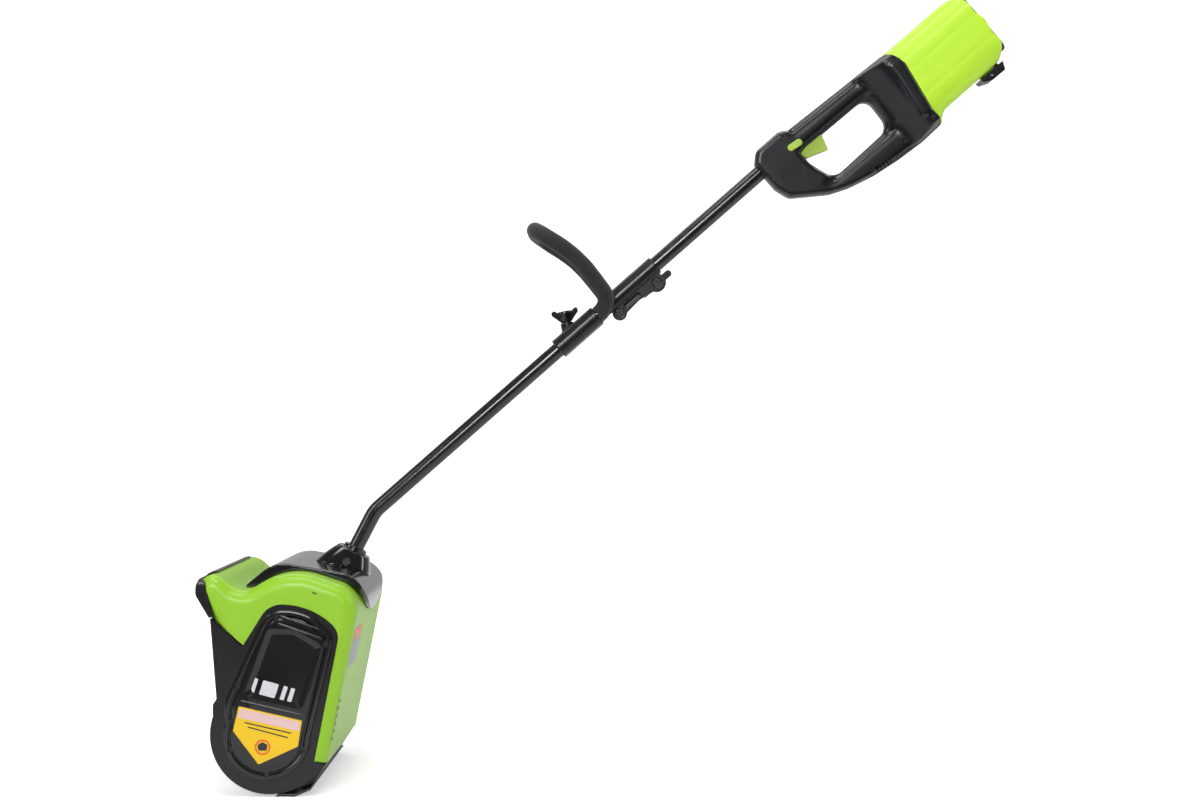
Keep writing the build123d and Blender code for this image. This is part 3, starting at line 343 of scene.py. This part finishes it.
def merge(pieces, name):
    """Joins pieces into one mesh."""
    edit = bmesh.new()
    for piece in pieces:
        edit.from_mesh(piece.data)
    mesh = bpy.data.meshes.new(name)
    edit.to_mesh(mesh)
    edit.free()
    for piece in pieces:
        bpy.data.objects.remove(piece)
    made = bpy.data.objects.new(name, mesh)
    scene.collection.objects.link(made)
    return made


def cut_by(piece, name, corners):
    """A copy of a piece, cut to a block given by its corner ring and the ring opposite."""
    made = bpy.data.objects.new(name, piece.data.copy())
    scene.collection.objects.link(made)
    return combine(made, rings("block", corners, smooth=False), "INTERSECT")


def half_of(piece, name, side, gap):
    """The part of a piece on one side of the middle plane, a gap away from it."""
    near, far = side * gap * MM, side * 0.3
    corners = [[Vector((x, y, z)) for x, z in ((-1, -1), (2, -1), (2, 2), (-1, 2))] for y in (near, far)]
    return cut_by(piece, name, corners)


def finish_piece(piece, body, finish, stands_for=(), smooth_angle=35):
    """Shading, finish, body and the CAD nodes that a piece stands for."""
    if smooth_angle:
        edit = bmesh.new()
        edit.from_mesh(piece.data)
        for face in edit.faces:
            face.smooth = True
        for edge in edit.edges:
            if len(edge.link_faces) == 2 and edge.calc_face_angle(0) > radians(smooth_angle):
                edge.smooth = False
        edit.to_mesh(piece.data)
        edit.free()
    dress(piece, finish)
    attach(piece, body)
    if stands_for:
        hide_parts(*stands_for)
    return piece


def tube_along(name, path, radius, sides, wander):
    """A closed round tube along a list of points, with slightly uneven thickness."""
    sections = []
    normal = (path[1] - path[0]).orthogonal().normalized()
    for i, point in enumerate(path):
        ahead = (path[min(i + 1, len(path) - 1)] - path[max(i - 1, 0)]).normalized()
        normal = (normal - ahead * normal.dot(ahead)).normalized()
        binormal = ahead.cross(normal)
        swell = 1 + wander * sin(i * 0.61) * cos(i * 0.23)
        ring = [point + (normal * cos(turn) + binormal * sin(turn)) * radius * swell * MM
                for turn in full_turn(sides)]
        sections.append(ring)
    return rings(name, sections)


def rounded_path(points, radii, spacing=4.0):
    """Points along straight runs joined by arcs, evenly spaced in mm; points and radii are in mm."""
    made = [points[0]]
    for i in range(1, len(points) - 1):
        here = points[i]
        before = points[i - 1] - here
        after = points[i + 1] - here
        half = before.angle(after) / 2
        reach = radii[i - 1] / tan(half)
        first = here + before.normalized() * reach
        last = here + after.normalized() * reach
        middle = here + (before.normalized() + after.normalized()).normalized() * (reach / cos(half))
        axis = (first - middle).cross(last - middle).normalized()
        turn = (first - middle).angle(last - middle)
        steps = max(3, int(turn * radii[i - 1] / spacing))
        for step in range(steps + 1):
            made.append(middle + Matrix.Rotation(turn * step / steps, 3, axis) @ (first - middle))
    made.append(points[-1])
    even = [made[0]]
    for a, b in zip(made, made[1:]):
        pieces = max(1, int((b - a).length / spacing))
        even += [a.lerp(b, k / pieces) for k in range(1, pieces + 1)]
    return even


# ---------------------------------------------------------------- handle
TUBE_BORE_RADIUS = 10.1
HANDLE_OUTLINE = [(666, 11), (680, 24), (718, 24), (729, 17.5), (884, 9.5), (891, -8), (892, -20),
                  (884, -62), (880, -85), (882, -108.5), (850, -109.5), (812, -106.5), (775, -101),
                  (742, -92.5), (715, -81), (672, -50), (666, -30)]
HANDLE_ROUND = [5, 8, 8, 6, 4, 6, 6, 10, 8, 2, 30, 60, 60, 60, 30, 12, 8]
WINDOW = [(722, -15.5), (833, -18), (830, -67), (733, -69), (722, -34)]
WINDOW_ROUND = [3, 14, 16, 18, 14]
GRIP_HALF = 16.5
BAY_HALF = 44.0
HANDLE_SCREWS = [(684, -24), (717, 15), (704, -58), (776, -93), (831, -92), (838, -2)]


def inset_loop(loop, amount):
    """An outline moved inward by an amount; a negative amount grows it."""
    made = []
    area = sum(a[0] * b[1] - b[0] * a[1] for a, b in zip(loop, loop[1:] + loop[:1]))
    side = 1 if area > 0 else -1
    for i, point in enumerate(loop):
        here = Vector(point)
        back = (here - Vector(loop[i - 1])).normalized()
        ahead = (Vector(loop[(i + 1) % len(loop)]) - here).normalized()
        across = (Vector((-back.y, back.x)) + Vector((-ahead.y, ahead.x))).normalized()
        spread = max(0.5, across.dot(Vector((-ahead.y, ahead.x))))
        made.append(tuple(here + across * side * amount / spread))
    return made


def swell_bar(piece, u_range, v_middle, v_half, power, reach=12):
    """Rounds the handle between two places along the shaft: its square section becomes a rounder one."""
    for vertex in piece.data.vertices:
        place = (vertex.co - BEND) / MM
        u, v, y = place.dot(ALONG), place.dot(UP), place.y
        middle = v_middle(u)
        half = v_half(u)
        if abs(v - middle) > half * 1.25:
            continue
        near = min((u - u_range[0]) / reach, (u_range[1] - u) / reach, 1)
        if near <= 0:
            continue
        share = near * near * (3 - 2 * near)
        a = abs(y) / GRIP_HALF
        b = abs(v - middle) / half
        size = (a ** power + b ** power) ** (1 / power)
        if size < 1e-6:
            continue
        scale = 1 + share * (max(a, b) / size - 1)
        vertex.co = shaft(u, middle + (v - middle) * scale, y * scale)


def cylinder_tool(u, v, radius, near, far, sides=24):
    """A cylinder across the shaft's side plane, from y near to y far."""
    return prism("tool", [circle(u, v, radius, sides)], near, far, shaft)


def from_above(u, y, v):
    """A point along, across and above the shaft, for outlines drawn from above."""
    return shaft(u, v, y)


def ease(share):
    """A smooth step from 0 to 1."""
    share = min(1, max(0, share))
    return share * share * (3 - 2 * share)


WIDENING = [(832 + 4 * k, GRIP_HALF + (BAY_HALF - GRIP_HALF) * ease(k / 11)) for k in range(12)]
FLARE = [(600, GRIP_HALF)] + WIDENING + [(930, BAY_HALF)]
ROOM = [(850, 10.4), (855, 18), (859, 24), (864, 29), (869, 34), (876, 37)]
FACETS = [(-45, 9), (-34, 6), (-GRIP_HALF, 3.2), (-9, 0), (9, 0), (GRIP_HALF, 3.2), (34, 6), (45, 9)]
WINDOW_FLARE = [(-60, 4.5), (-17, 4.5), (-8, 0), (8, 0), (17, 4.5), (60, 4.5)]
COLLAR = [(873, -6), (889.5, -10), (890, -20), (882, -62), (878.5, -86), (864, -87), (868, -58), (874, -20)]


def hollow_handle(shell):
    """Cuts a handle half's inside, the trigger's slot, the vents and the tube's seat."""
    inside = [rounded(inset_loop(HANDLE_OUTLINE, 5.5), 2), rounded(inset_loop(WINDOW, -5.5), 14)]
    combine(shell, prism("inner", inside, -10.5, 10.5, shaft), "DIFFERENCE")
    room_plan = ROOM + [(u, -y) for u, y in reversed(ROOM)]
    combine(shell, prism("room", [room_plan], -83, -3, from_above), "DIFFERENCE")
    slot = [(720.5, -29), (759.5, -29), (759.5, -8), (720.5, -8)]
    combine(shell, prism("slot", [slot], -7.4, 7.4, shaft), "DIFFERENCE")
    for u in (782, 787, 792, 797, 802):
        v = -99 - (u - 792) * 0.12
        corners = [(u - 1.9, v - 4.5), (u + 0.1, v - 4.7), (u + 1.9, v + 4.3), (u - 0.1, v + 4.5)]
        vent = rounded(corners, 0.9, 4)
        combine(shell, prism("vent", [vent], -30, -8, shaft), "DIFFERENCE")
        combine(shell, prism("vent", [[(a + 2.5, b) for a, b in vent]], 8, 30, shaft), "DIFFERENCE")
    outline = circle(0, 0, TUBE_BORE_RADIUS)
    bore = rings("bore", [[shaft(u, v, y) for v, y in outline] for u in (655, 709.5)], smooth=False)
    combine(shell, bore, "DIFFERENCE")


def handle_shells():
    """The two moulded halves of the D-handle, rounded, hollow, with their screw seats, slots and vents."""
    outline = rounded(HANDLE_OUTLINE, HANDLE_ROUND)
    solid = prism("handle", [outline], -BAY_HALF, BAY_HALF, shaft)
    longer = [(u + 16 if u > 870 else u, v) for u, v in HANDLE_OUTLINE]
    facets = [[shaft(u, v, y) for u, v in rounded(inset_loop(longer, inset), HANDLE_ROUND)]
              for y, inset in FACETS]
    combine(solid, rings("facets", facets, smooth=False), "INTERSECT")
    plan = FLARE + [(u, -y) for u, y in reversed(FLARE)]
    combine(solid, prism("plan", [plan], -160, 60, from_above), "INTERSECT")
    opening = [[shaft(u, v, y) for u, v in rounded(inset_loop(WINDOW, -grow), WINDOW_ROUND)]
               for y, grow in WINDOW_FLARE]
    combine(solid, rings("opening", opening, smooth=False), "DIFFERENCE")
    collar = prism("collar", [rounded(COLLAR, 5)], -BAY_HALF - 1.4, BAY_HALF + 1.4, shaft)
    solid = soften(merge([solid, collar], "handle"), 1.2, 7)
    swell_bar(solid, (722, 842), lambda u: -0.5 - (u - 722) * 0.03, lambda u: 16.6 - (u - 722) * 0.02, 2.6)
    swell_bar(solid, (712, 850), lambda u: -86 - (u - 712) * 0.03, lambda u: 18.5, 3.6, 24)
    relax(solid, 9)
    right = half_of(solid, "handle_right", 1, 0.15)
    left = half_of(solid, "handle_left", -1, 0.15)
    bpy.data.objects.remove(solid)
    for shell in (left, right):
        hollow_handle(shell)
    for u, v in HANDLE_SCREWS:
        combine(left, cylinder_tool(u, v, 3.7, -40, 2.4 - GRIP_HALF), "DIFFERENCE")
    button = rounded([(710.3, -6.6), (731.6, -9.6), (732.7, -0.6), (711.4, 2.5)], 4.3)
    combine(left, prism("button_slot", [button], -40, -9, shaft), "DIFFERENCE")
    finish_piece(left, "upper_shaft", "handle_black", ["handle_left_shell"])
    finish_piece(right, "upper_shaft", "handle_black", ["handle_right_shell"])


handle_shells()


# ---------------------------------------------------------------- battery bay
BAY_MIDDLE = -44
BAY_HIGH = 53.0
BAY_WALL = 3.5
REAR_EDGE = [(9.5, 884.5), (-8, 891.5), (-20, 892.5), (-62, 884.5), (-85, 880.6), (-112, 882.8)]


def handle_rear(v):
    """How far the handle's rear edge reaches along the shaft at a height."""
    for (high, u_high), (low, u_low) in zip(REAR_EDGE, REAR_EDGE[1:]):
        if v >= low:
            return u_low + (u_high - u_low) * min(1, (v - low) / (high - low))
    return REAR_EDGE[-1][1]


def bay_half_width(v):
    """Half the bay's width at a height: a rounded box with shallow flutes and a stepped roof."""
    high = max(0.0, 1 - abs((v - BAY_MIDDLE) / BAY_HIGH) ** 4.5)
    width = BAY_HALF * high ** 0.30
    for middle, depth, reach in ((-29, 0.6, 1.6), (-46, 0.35, 2.0), (-65, 0.6, 1.6)):
        width -= depth * exp(-((v - middle) / reach) ** 2)
    return width - 2.2 * min(1, max(0, (v + 16) / 2.5))


def bay_end(v):
    """How far the bay reaches along the shaft at a height: a lobed, rounded end."""
    high = (v - BAY_MIDDLE) / BAY_HIGH
    return 1005 - 13 * abs(high) ** 4 + 1.6 * cos(high * 3 * pi)


def bay_ring(share, inset=0.0, steps=112):
    """One closed ring of the bay's skin: share 0 at the handle, 1 at the open end."""
    ring = []
    for k in range(steps):
        swing = 2 * pi * k / steps
        v = BAY_MIDDLE + BAY_HIGH * sin(swing) * (1 - 0.0005)
        y = bay_half_width(v) * (1 if cos(swing) >= 0 else -1)
        if abs(cos(swing)) < 0.2:
            y = bay_half_width(BAY_MIDDLE + BAY_HIGH * 0.98) * cos(swing) / 0.2
        shrink_v = 1 - inset / BAY_HIGH
        shrink_y = 1 - inset / BAY_HALF
        near_end = max(0.0, (share - 0.85) / 0.15)
        draw_in = 1 - 0.02 * near_end ** 2
        deep = max(0.0, (-80 - v) / 17)
        flare = 11.5 * deep * max(0.0, 1 - share / 0.2) ** 2 if not inset else 0
        u = handle_rear(v - flare) + (bay_end(v) - handle_rear(v - flare)) * share
        drawn_v = BAY_MIDDLE + (v - BAY_MIDDLE) * shrink_v * draw_in - flare
        ring.append(shaft(u, drawn_v, y * shrink_y * draw_in))
    return ring


def battery_bay():
    """The open-ended green bay, with the latch's ears and the slot for its hook."""
    shares = [k / 26 for k in range(26)]
    outer = [bay_ring(share) for share in shares]
    rim = [bay_ring(1 - 0.004 * step, 0.9 - 0.9 * cos(pi * step / 4)) for step in (1, 2, 3)]
    inner = [bay_ring(share, BAY_WALL) for share in (0.985, 0.9, 0.8, 0.6, 0.4, 0.25, 0.16, 0.135)]
    bay = rings("bay", outer + [bay_ring(0.994, 0.15)] + rim + inner)
    slot = rings("slot", [[shaft(u, v, y) for y, v in ((-10, -88), (10, -88), (10, -99), (-10, -99))]
                          for u in (982, 993)], smooth=False)
    combine(bay, slot, "DIFFERENCE")
    pieces = [bay]
    for side in (-1, 1):
        ear = rounded([(962, -91), (982, -91), (976, -107), (968, -107)], [0.5, 0.5, 3.5, 3.5], 5)
        pieces.append(prism("ear", [ear], side * 11 - 2, side * 11 + 2, shaft))
    finish_piece(merge(pieces, "bay_shell"), "upper_shaft", "bay_green", ["battery_bay"], 45)


battery_bay()


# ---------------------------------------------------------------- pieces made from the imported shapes
def copy_of(name):
    """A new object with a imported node's shape, in the row frame."""
    mesh = nodes[name].data.copy()
    mesh.transform(nodes[name].matrix_world)
    made = bpy.data.objects.new(f"{name}_finished", mesh)
    scene.collection.objects.link(made)
    edit = bmesh.new()
    edit.from_mesh(mesh)
    bmesh.ops.remove_doubles(edit, verts=edit.verts, dist=1e-6)
    edit.to_mesh(mesh)
    edit.free()
    return made


def moulded(name, body, voxel, passes, smooth_angle=50):
    """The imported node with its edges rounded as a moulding's are."""
    finish_piece(soften(copy_of(name), voxel, passes), body, slot_of[name], [name], smooth_angle)


def moulded_half(name, body, voxel, passes, normal, gap):
    """A half of a split moulding: its edges are rounded, but its split face stays flat."""
    piece = copy_of(name)
    for vertex in piece.data.vertices:
        if abs((vertex.co - BEND).dot(normal)) < 0.6 * MM:
            vertex.co -= normal * 3 * MM
    soften(piece, voxel, passes)
    first = UP if abs(normal.y) > 0.5 else RIGHT
    square = [ALONG + first, first - ALONG, -ALONG - first, ALONG - first]
    block = [[BEND + ALONG * 0.4 + corner * 0.3 + normal * depth for corner in square]
             for depth in (gap * MM, 0.2)]
    cut = cut_by(piece, f"{name}_half", block)
    bpy.data.objects.remove(piece)
    finish_piece(cut, body, slot_of[name], [name], 50)


for part, voxel, passes in (("top_cover", 1.5, 4), ("nose_lip", 1.1, 3), ("shaft_socket", 0.9, 4),
                            ("scraper_bar", 1.2, 1)):
    moulded(part, "head", voxel, passes)
moulded_half("coupler_left", "head", 0.6, 5, -RIGHT, 0.1)
moulded_half("coupler_right", "head", 0.6, 5, RIGHT, 0.1)
moulded_half("aux_clamp_upper", "aux_handle", 0.8, 6, UP, 0.1)
moulded_half("aux_clamp_lower", "aux_handle", 0.8, 6, -UP, 0.1)
moulded("trigger", "trigger", 0.5, 5)
moulded("lock_off_button", "lock_off", 0.4, 3)
moulded("battery_latch", "latch", 0.6, 3)
moulded("coupler_knob", "coupler_knob", 0.5, 5)
moulded("battery_case", "battery", 1.2, 3)


# ---------------------------------------------------------------- foam loop
LOOP_POINTS = [(410, 0, 24.5), (414, 72, 50), (396, 134, 58)]
LOOP_RADII = (22, 140, 28, 28, 140, 22)


def foam_loop():
    """The foam sleeve on the loop: one even tube with flat closed ends."""
    left = [Vector((385.4, 0, -24.5))] + [Vector((u, v, -y)) for u, v, y in LOOP_POINTS]
    right = [Vector((u, v, y)) for u, v, y in reversed(LOOP_POINTS)] + [Vector((385.4, 0, 24.5))]
    path = [shaft(*point) for point in rounded_path(left + right, LOOP_RADII, 3.0)]
    loop = tube_along("foam_loop", path, 10.6, 40, 0.012)
    finish_piece(loop, "aux_handle", "foam", ["loop_grip"], 50)


foam_loop()


# ---------------------------------------------------------------- clamp knob
KNOB_TILT = radians(30)
KNOB_AXIS = ALONG * sin(KNOB_TILT) + UP * cos(KNOB_TILT)
KNOB_SIDE = ALONG * cos(KNOB_TILT) - UP * sin(KNOB_TILT)
KNOB_POINT = shaft(354, 28)
KNOB_STEM_RADIUS = 2.5


def knob_place(a, t, y):
    """A point of the clamp knob: a beside its axis, t along it, y to the tool's right."""
    return KNOB_POINT + (KNOB_SIDE * a + KNOB_AXIS * t + RIGHT * y) * MM


def clamp_knob():
    """A wing knob: a hub that widens towards the top, and two raised wings."""
    corners = [(-17.5, 2), (-17, 7.5), (-12.5, 7.5), (-9, 4.4), (9, 4.4), (12.5, 7.5), (17, 7.5), (17.5, 2),
               (12, -3.5), (7, -9), (-7, -9), (-12, -3.5)]
    wings = rounded(corners, [2, 2, 2, 3, 3, 2, 2, 2, 5, 2, 2, 5], 5)
    profile = [(-12, 6.4), (-8, 6.2), (-3, 7.6), (1.5, 9.6), (4.2, 9.4), (5.2, 8.2)]
    hub = [[knob_place(a, t, y) for a, y in circle(0, 0, r)] for t, r in profile]
    stem_outline = circle(0, 0, KNOB_STEM_RADIUS, 24)
    stem = [[knob_place(a, t, y) for a, y in stem_outline] for t in (-17, -8)]
    head_part = merge([prism("wings", [wings], -4.2, 4.2, knob_place), rings("hub", hub)], "knob_head")
    soften(head_part, 0.5, 4)
    knob = merge([head_part, rings("stem", stem)], "wing_knob")
    finish_piece(knob, "clamp_knob", "gloss_black", ["clamp_knob"], 50)


clamp_knob()


# ---------------------------------------------------------------- drive cover and end cover
def arc_through(first, middle, last, steps):
    """Points on the circle through three points, without the last one."""
    a, b, c = Vector(first), Vector(middle), Vector(last)
    d = 2 * (a.x * (b.y - c.y) + b.x * (c.y - a.y) + c.x * (a.y - b.y))
    x = (a.length_squared * (b.y - c.y) + b.length_squared * (c.y - a.y) + c.length_squared * (a.y - b.y)) / d
    y = (a.length_squared * (c.x - b.x) + b.length_squared * (a.x - c.x) + c.length_squared * (b.x - a.x)) / d
    centre = Vector((x, y))
    start = a - centre
    turn = start.angle_signed(b - centre) + (b - centre).angle_signed(c - centre)
    return [tuple(centre + Matrix.Rotation(-turn * k / steps, 2) @ start) for k in range(steps)]


def straight(first, last, steps):
    """Points on a straight line, without the last one."""
    return [tuple(Vector(first).lerp(Vector(last), k / steps)) for k in range(steps)]


COVER_OUTLINE = (straight((-68, 128), (-30, 210), 12) + arc_through((-30, 210), (-18, 224), (0, 228), 12)
                 + arc_through((0, 228), (28, 222), (50, 206), 14)
                 + arc_through((50, 206), (57, 197), (57, 184), 10)
                 + straight((57, 184), (31, 72), 12) + arc_through((31, 72), (-24, 22), (-72, 92), 44)
                 + arc_through((-72, 92), (-73, 110), (-68, 128), 8))
COVER_STEPS = [(0, 0), (0, 3.6), (0.5, 5.0), (1.6, 5.9), (3.2, 6.2), (5.0, 6.0), (6.4, 5.2), (7.2, 4.4),
               (8.4, 4.3), (9.2, 4.9), (9.9, 6.4), (11.0, 7.3), (12.6, 7.5)]
SCREW_SEAT_RADIUS = 3.8
COVER_SCREWS = [(-10, 219.5), (50, 187), (-57, 136), (22, 59), (-22, 28.5), (-65.5, 59)]
HALF = 152.5
WINDOW_PANE = [(-19, 205), (12, 204), (44, 186), (21, 109), (-48, 125)]


def end_cover(name, side):
    """A cover on one side of the head: a rounded rim, a groove and a raised panel."""
    sections = [[head(x, z, side * (HALF + rise)) for x, z in inset_loop(COVER_OUTLINE, inset)]
                for inset, rise in COVER_STEPS]
    cover = rings(name, sections)
    for x, z in COVER_SCREWS:
        outline = circle(x, z, SCREW_SEAT_RADIUS, 28)
        seat = prism("seat", [outline], side * (HALF + 2.0), side * (HALF + 12), head)
        combine(cover, seat, "DIFFERENCE")
    return cover


def sunk_pane(outline, side, top, floor, slope):
    """A tool that sinks a pane with sloping edges into a cover."""
    wide = rounded(inset_loop(outline, -slope * 0.25), 7)
    narrow = rounded(inset_loop(outline, slope), 6)
    levels = ((wide, top + 1.0), (wide, top), (narrow, floor))
    sections = [[head(x, z, side * (HALF + rise)) for x, z in loop] for loop, rise in levels]
    return rings("pane", sections, smooth=False)


def ridge(first, last, width, height, base, side=-1):
    """A raised rounded bar between two points on a side of the head."""
    along = (Vector(last) - Vector(first)).normalized()
    across = Vector((-along.y, along.x))
    sections = []
    for level in range(7):
        swing = pi / 2 * level / 6
        reach = width / 2 * cos(swing)
        rise = base + height * sin(swing)
        loop = []
        for end, way in ((Vector(last), 1), (Vector(first), -1)):
            for k in range(9):
                turn = -pi / 2 + pi * k / 8
                place = end + (along * cos(turn) + across * sin(turn)) * reach * way
                loop.append(head(place.x, place.y, side * (HALF + rise)))
        sections.append(loop)
    return rings("ridge", sections)


def drive_covers():
    """The marked drive cover on the left and its plain twin on the right."""
    right = end_cover("right_cover", 1)
    finish_piece(right, "head", "gloss_black", ["right_end_cover"], 20)
    left = end_cover("left_cover", -1)
    combine(left, sunk_pane(WINDOW_PANE, -1, 7.5, 4.2, 5.5), "DIFFERENCE")
    bars = [ridge((-3, 221.5), (42, 206), 3.0, 1.1, 7.2), ridge((-6, 212.5), (45, 194.5), 3.0, 1.1, 7.2),
            ridge((-52, 118.5), (21, 101.5), 2.6, 1.2, 7.2)]
    finish_piece(merge([left] + bars, "left_cover_panel"), "head", "gloss_black", ["drive_cover"], 20)


drive_covers()


def decal(name, outline, rise, thick, finish, side=-1):
    """A thin flat label on a side of the head."""
    label = prism(name, [outline], side * (HALF + rise), side * (HALF + rise + thick), head)
    return finish_piece(label, "head", finish, smooth_angle=0)


def cover_labels():
    """Generic marks on the drive cover: slanted silver bars, and a plain hazard plate with a ring."""
    slant, lean, tall = 0.27, 5.5, 17
    for start, width in ((-43, 6), (-31, 19), (-6, 5), (3, 5)):
        end = start + width
        low = 129.5 - (start + 43) * slant
        low_end = low - width * slant
        bar = [(start, low), (end, low_end), (end + lean, low_end + tall), (start + lean, low + tall)]
        decal(f"mark_{start + 43}", rounded(bar, 1.2, 3), 4.15, 0.5, "silver_mark")
    plate = [(-55, 112), (22, 94.5), (17, 63), (-31, 41), (-62, 82)]
    decal("plate_edge", rounded(inset_loop(plate, -0.9), 1.5, 3), 7.4, 0.2, "label_dark")
    decal("plate", rounded(plate, 1.2, 3), 7.5, 0.25, "label_yellow")
    decal("plate_header", [(-53, 109.5), (19.5, 93), (18.5, 81.5), (-57, 98.5)], 7.6, 0.3, "label_pink")
    for row in range(2):
        drop = 5.5 * row
        first, last = -48 + 4 * row, 9 - 4 * row
        line = [(first, 93 - drop), (last, 80 - drop), (last, 78.4 - drop), (first, 91.4 - drop)]
        decal(f"plate_line_{row}", line, 7.6, 0.28, "label_dark")
    outlines = [circle(-26, 62, 9.6), list(reversed(circle(-26, 62, 7.4)))]
    ring = prism("ring", outlines, -(HALF + 7.6), -(HALF + 7.95), head)
    finish_piece(ring, "head", "label_orange", smooth_angle=0)
    decal("ring_mark", rounded([(-31, 58), (-21, 58), (-20, 65), (-26, 68.5), (-32, 65)], 1.5, 3), 7.6, 0.3,
          "label_dark")


cover_labels()


WALL_TOP = Vector((92, 250))
WALL_FOOT = Vector((50, 40))


def rear_decal(name, outline, thick, finish):
    """A thin label on the hood's rear wall, from (mm down the wall, y) pairs."""
    down = (WALL_FOOT - WALL_TOP).normalized()
    out = Vector((-down.y, down.x))

    def on_wall(along, y, rise):
        """A point of the rear wall, from its own two directions and a height above it."""
        place = WALL_TOP + down * along + out * rise
        return head(place.x, place.y, y)

    return finish_piece(prism(name, [outline], 0.05, thick, on_wall), "head", finish, smooth_angle=0)


def hood_marks():
    """Plain labels on the rear wall, and flat dark marks of painted shade standing for a row of small vents there
    and for two small slots on the left side.
    """
    rear_decal("rear_label", [(50, -122), (50, -48), (64, -48), (64, -122)], 0.3, "label_orange")
    rear_decal("rear_plate", [(66, -122), (66, -48), (98, -48), (98, -122)], 0.3, "label_grey")
    for row in range(6):
        top = 136 + 9.5 * row
        slot = rounded([(top, -142), (top, -128), (top + 3, -128), (top + 3, -142)], 1.4, 4)
        # The vents are flat dark labels: painted shade of the vent openings, not cut holes.
        rear_decal(f"rear_vent_{row}", slot, 0.2, "label_dark")
    for name, x, z in (("hood_slot", 36, 249), ("plate_slot", -50, 27)):
        corners = [(x - 3, z), (x + 3, z - 1.8), (x + 3, z - 0.2), (x - 3, z + 1.6)]
        # The slots are flat dark labels: painted shade of the openings.
        decal(name, rounded(corners, 0.7, 4), 0.02, 0.15, "label_dark")


hood_marks()


# ---------------------------------------------------------------- camera, floor and lights
camera_data = bpy.data.cameras.new("camera")
camera_data.sensor_width = 36
camera_data.lens = 58.5
camera = bpy.data.objects.new("camera", camera_data)
camera.location = (0.385, -2.535, 0.485)
camera.rotation_euler = (radians(90), 0, 0)
scene.collection.objects.link(camera)
scene.camera = camera


def floor_with_painted_glow(name, rows, glossy, mirrored):
    """Pale floor or wall through rows of (y, z), with a painted glow: camera rays see it emit light, dimmer near
    the object and brighter farther off; glossy sets the painted tone that reflections see, and mirrored the
    painted glow they see.
    """
    verts = [(x, y, z) for y, z in rows for x in (-60.0, 60.0)]
    faces = [(2 * i, 2 * i + 1, 2 * i + 3, 2 * i + 2) for i in range(len(rows) - 1)]
    made = new_object(name, verts, faces, smooth=True)
    material, tree, shader = new_material(name, (0.90, 0.90, 0.90), 0.8)
    # Painted reflection: glossy rays see the floor at the glossy tone, not at its own pale colour.
    rays = tree.nodes.new("ShaderNodeLightPath")
    tint(tree, shader, rays.outputs["Is Glossy Ray"], (0.90, 0.90, 0.90), (glossy, glossy, glossy))
    place = tree.nodes.new("ShaderNodeTexCoord")
    distance = tree.nodes.new("ShaderNodeVectorMath")
    distance.operation = "LENGTH"
    tree.links.new(place.outputs["Object"], distance.inputs[0])
    # Painted glow: camera rays see the floor emit light, dimmer near the object and brighter farther off.
    glow = tree.nodes.new("ShaderNodeMapRange")
    glow.inputs["From Min"].default_value = 0.4
    glow.inputs["From Max"].default_value = 2.2
    glow.inputs["To Min"].default_value = 0.45
    glow.inputs["To Max"].default_value = 1.0
    tree.links.new(distance.outputs["Value"], glow.inputs["Value"])
    seen = tree.nodes.new("ShaderNodeMath")
    seen.operation = "MULTIPLY"
    tree.links.new(rays.outputs["Is Camera Ray"], seen.inputs[0])
    tree.links.new(glow.outputs["Result"], seen.inputs[1])
    # Painted glow in reflections: glossy rays see the floor emit at the mirrored strength.
    painted_glow = tree.nodes.new("ShaderNodeMath")
    painted_glow.operation = "MULTIPLY_ADD"
    painted_glow.inputs[1].default_value = mirrored
    tree.links.new(rays.outputs["Is Glossy Ray"], painted_glow.inputs[0])
    tree.links.new(seen.outputs["Value"], painted_glow.inputs[2])
    shader.inputs["Emission Color"].default_value = (1.0, 1.0, 1.0, 1.0)
    tree.links.new(painted_glow.outputs["Value"], shader.inputs["Emission Strength"])
    made.data.materials.append(material)


CURVE = [(8.0 + 1.2 * sin(radians(a)), 1.2 - 1.2 * cos(radians(a))) for a in range(10, 91, 10)]
floor_with_painted_glow("floor", [(-0.9, 0.0), (8.0, 0.0)] + CURVE + [(9.2, 8.0)], 0.5, 0.35)
# The front floor is painted near black in reflections and shows no glow in them.
floor_with_painted_glow("floor_front", [(-60.0, 0.0), (-0.9, 0.0)], 0.03, 0.0)

world = bpy.data.worlds.new("studio")
world.use_nodes = True
sky = world.node_tree
paths = sky.nodes.new("ShaderNodeLightPath")
brightness = sky.nodes.new("ShaderNodeMapRange")
brightness.inputs["To Min"].default_value = 0.16
brightness.inputs["To Max"].default_value = 1.0
sky.links.new(paths.outputs["Is Camera Ray"], brightness.inputs["Value"])
sky.nodes["Background"].inputs["Color"].default_value = (1, 1, 1, 1)
sky.links.new(brightness.outputs["Result"], sky.nodes["Background"].inputs["Strength"])
scene.world = world
scene.view_settings.view_transform = "Standard"


def softbox(name, place, aim, size, power):
    """A rectangular area light at place, pointing at aim."""
    data = bpy.data.lights.new(name, "AREA")
    data.shape = "RECTANGLE"
    data.size = size[0]
    data.size_y = size[1]
    data.energy = power
    made = bpy.data.objects.new(name, data)
    made.location = place
    made.rotation_euler = (Vector(aim) - Vector(place)).to_track_quat("-Z", "Y").to_euler()
    made.visible_camera = False
    scene.collection.objects.link(made)


MIDDLE = (0.35, 0, 0.45)
softbox("key", (0.1, -0.9, 3.0), MIDDLE, (2.2, 0.9), 42)
softbox("front", (-0.6, -4.6, 1.9), MIDDLE, (1.6, 1.2), 100)
softbox("rear_side", (3.0, -0.4, 1.6), MIDDLE, (0.8, 1.8), 22)
softbox("front_side", (-2.4, -1.2, 1.6), MIDDLE, (0.8, 1.8), 22)
softbox("floor_fill", (0.4, 1.6, 2.6), (0.4, 2.2, 0.5), (3.5, 1.0), 45)
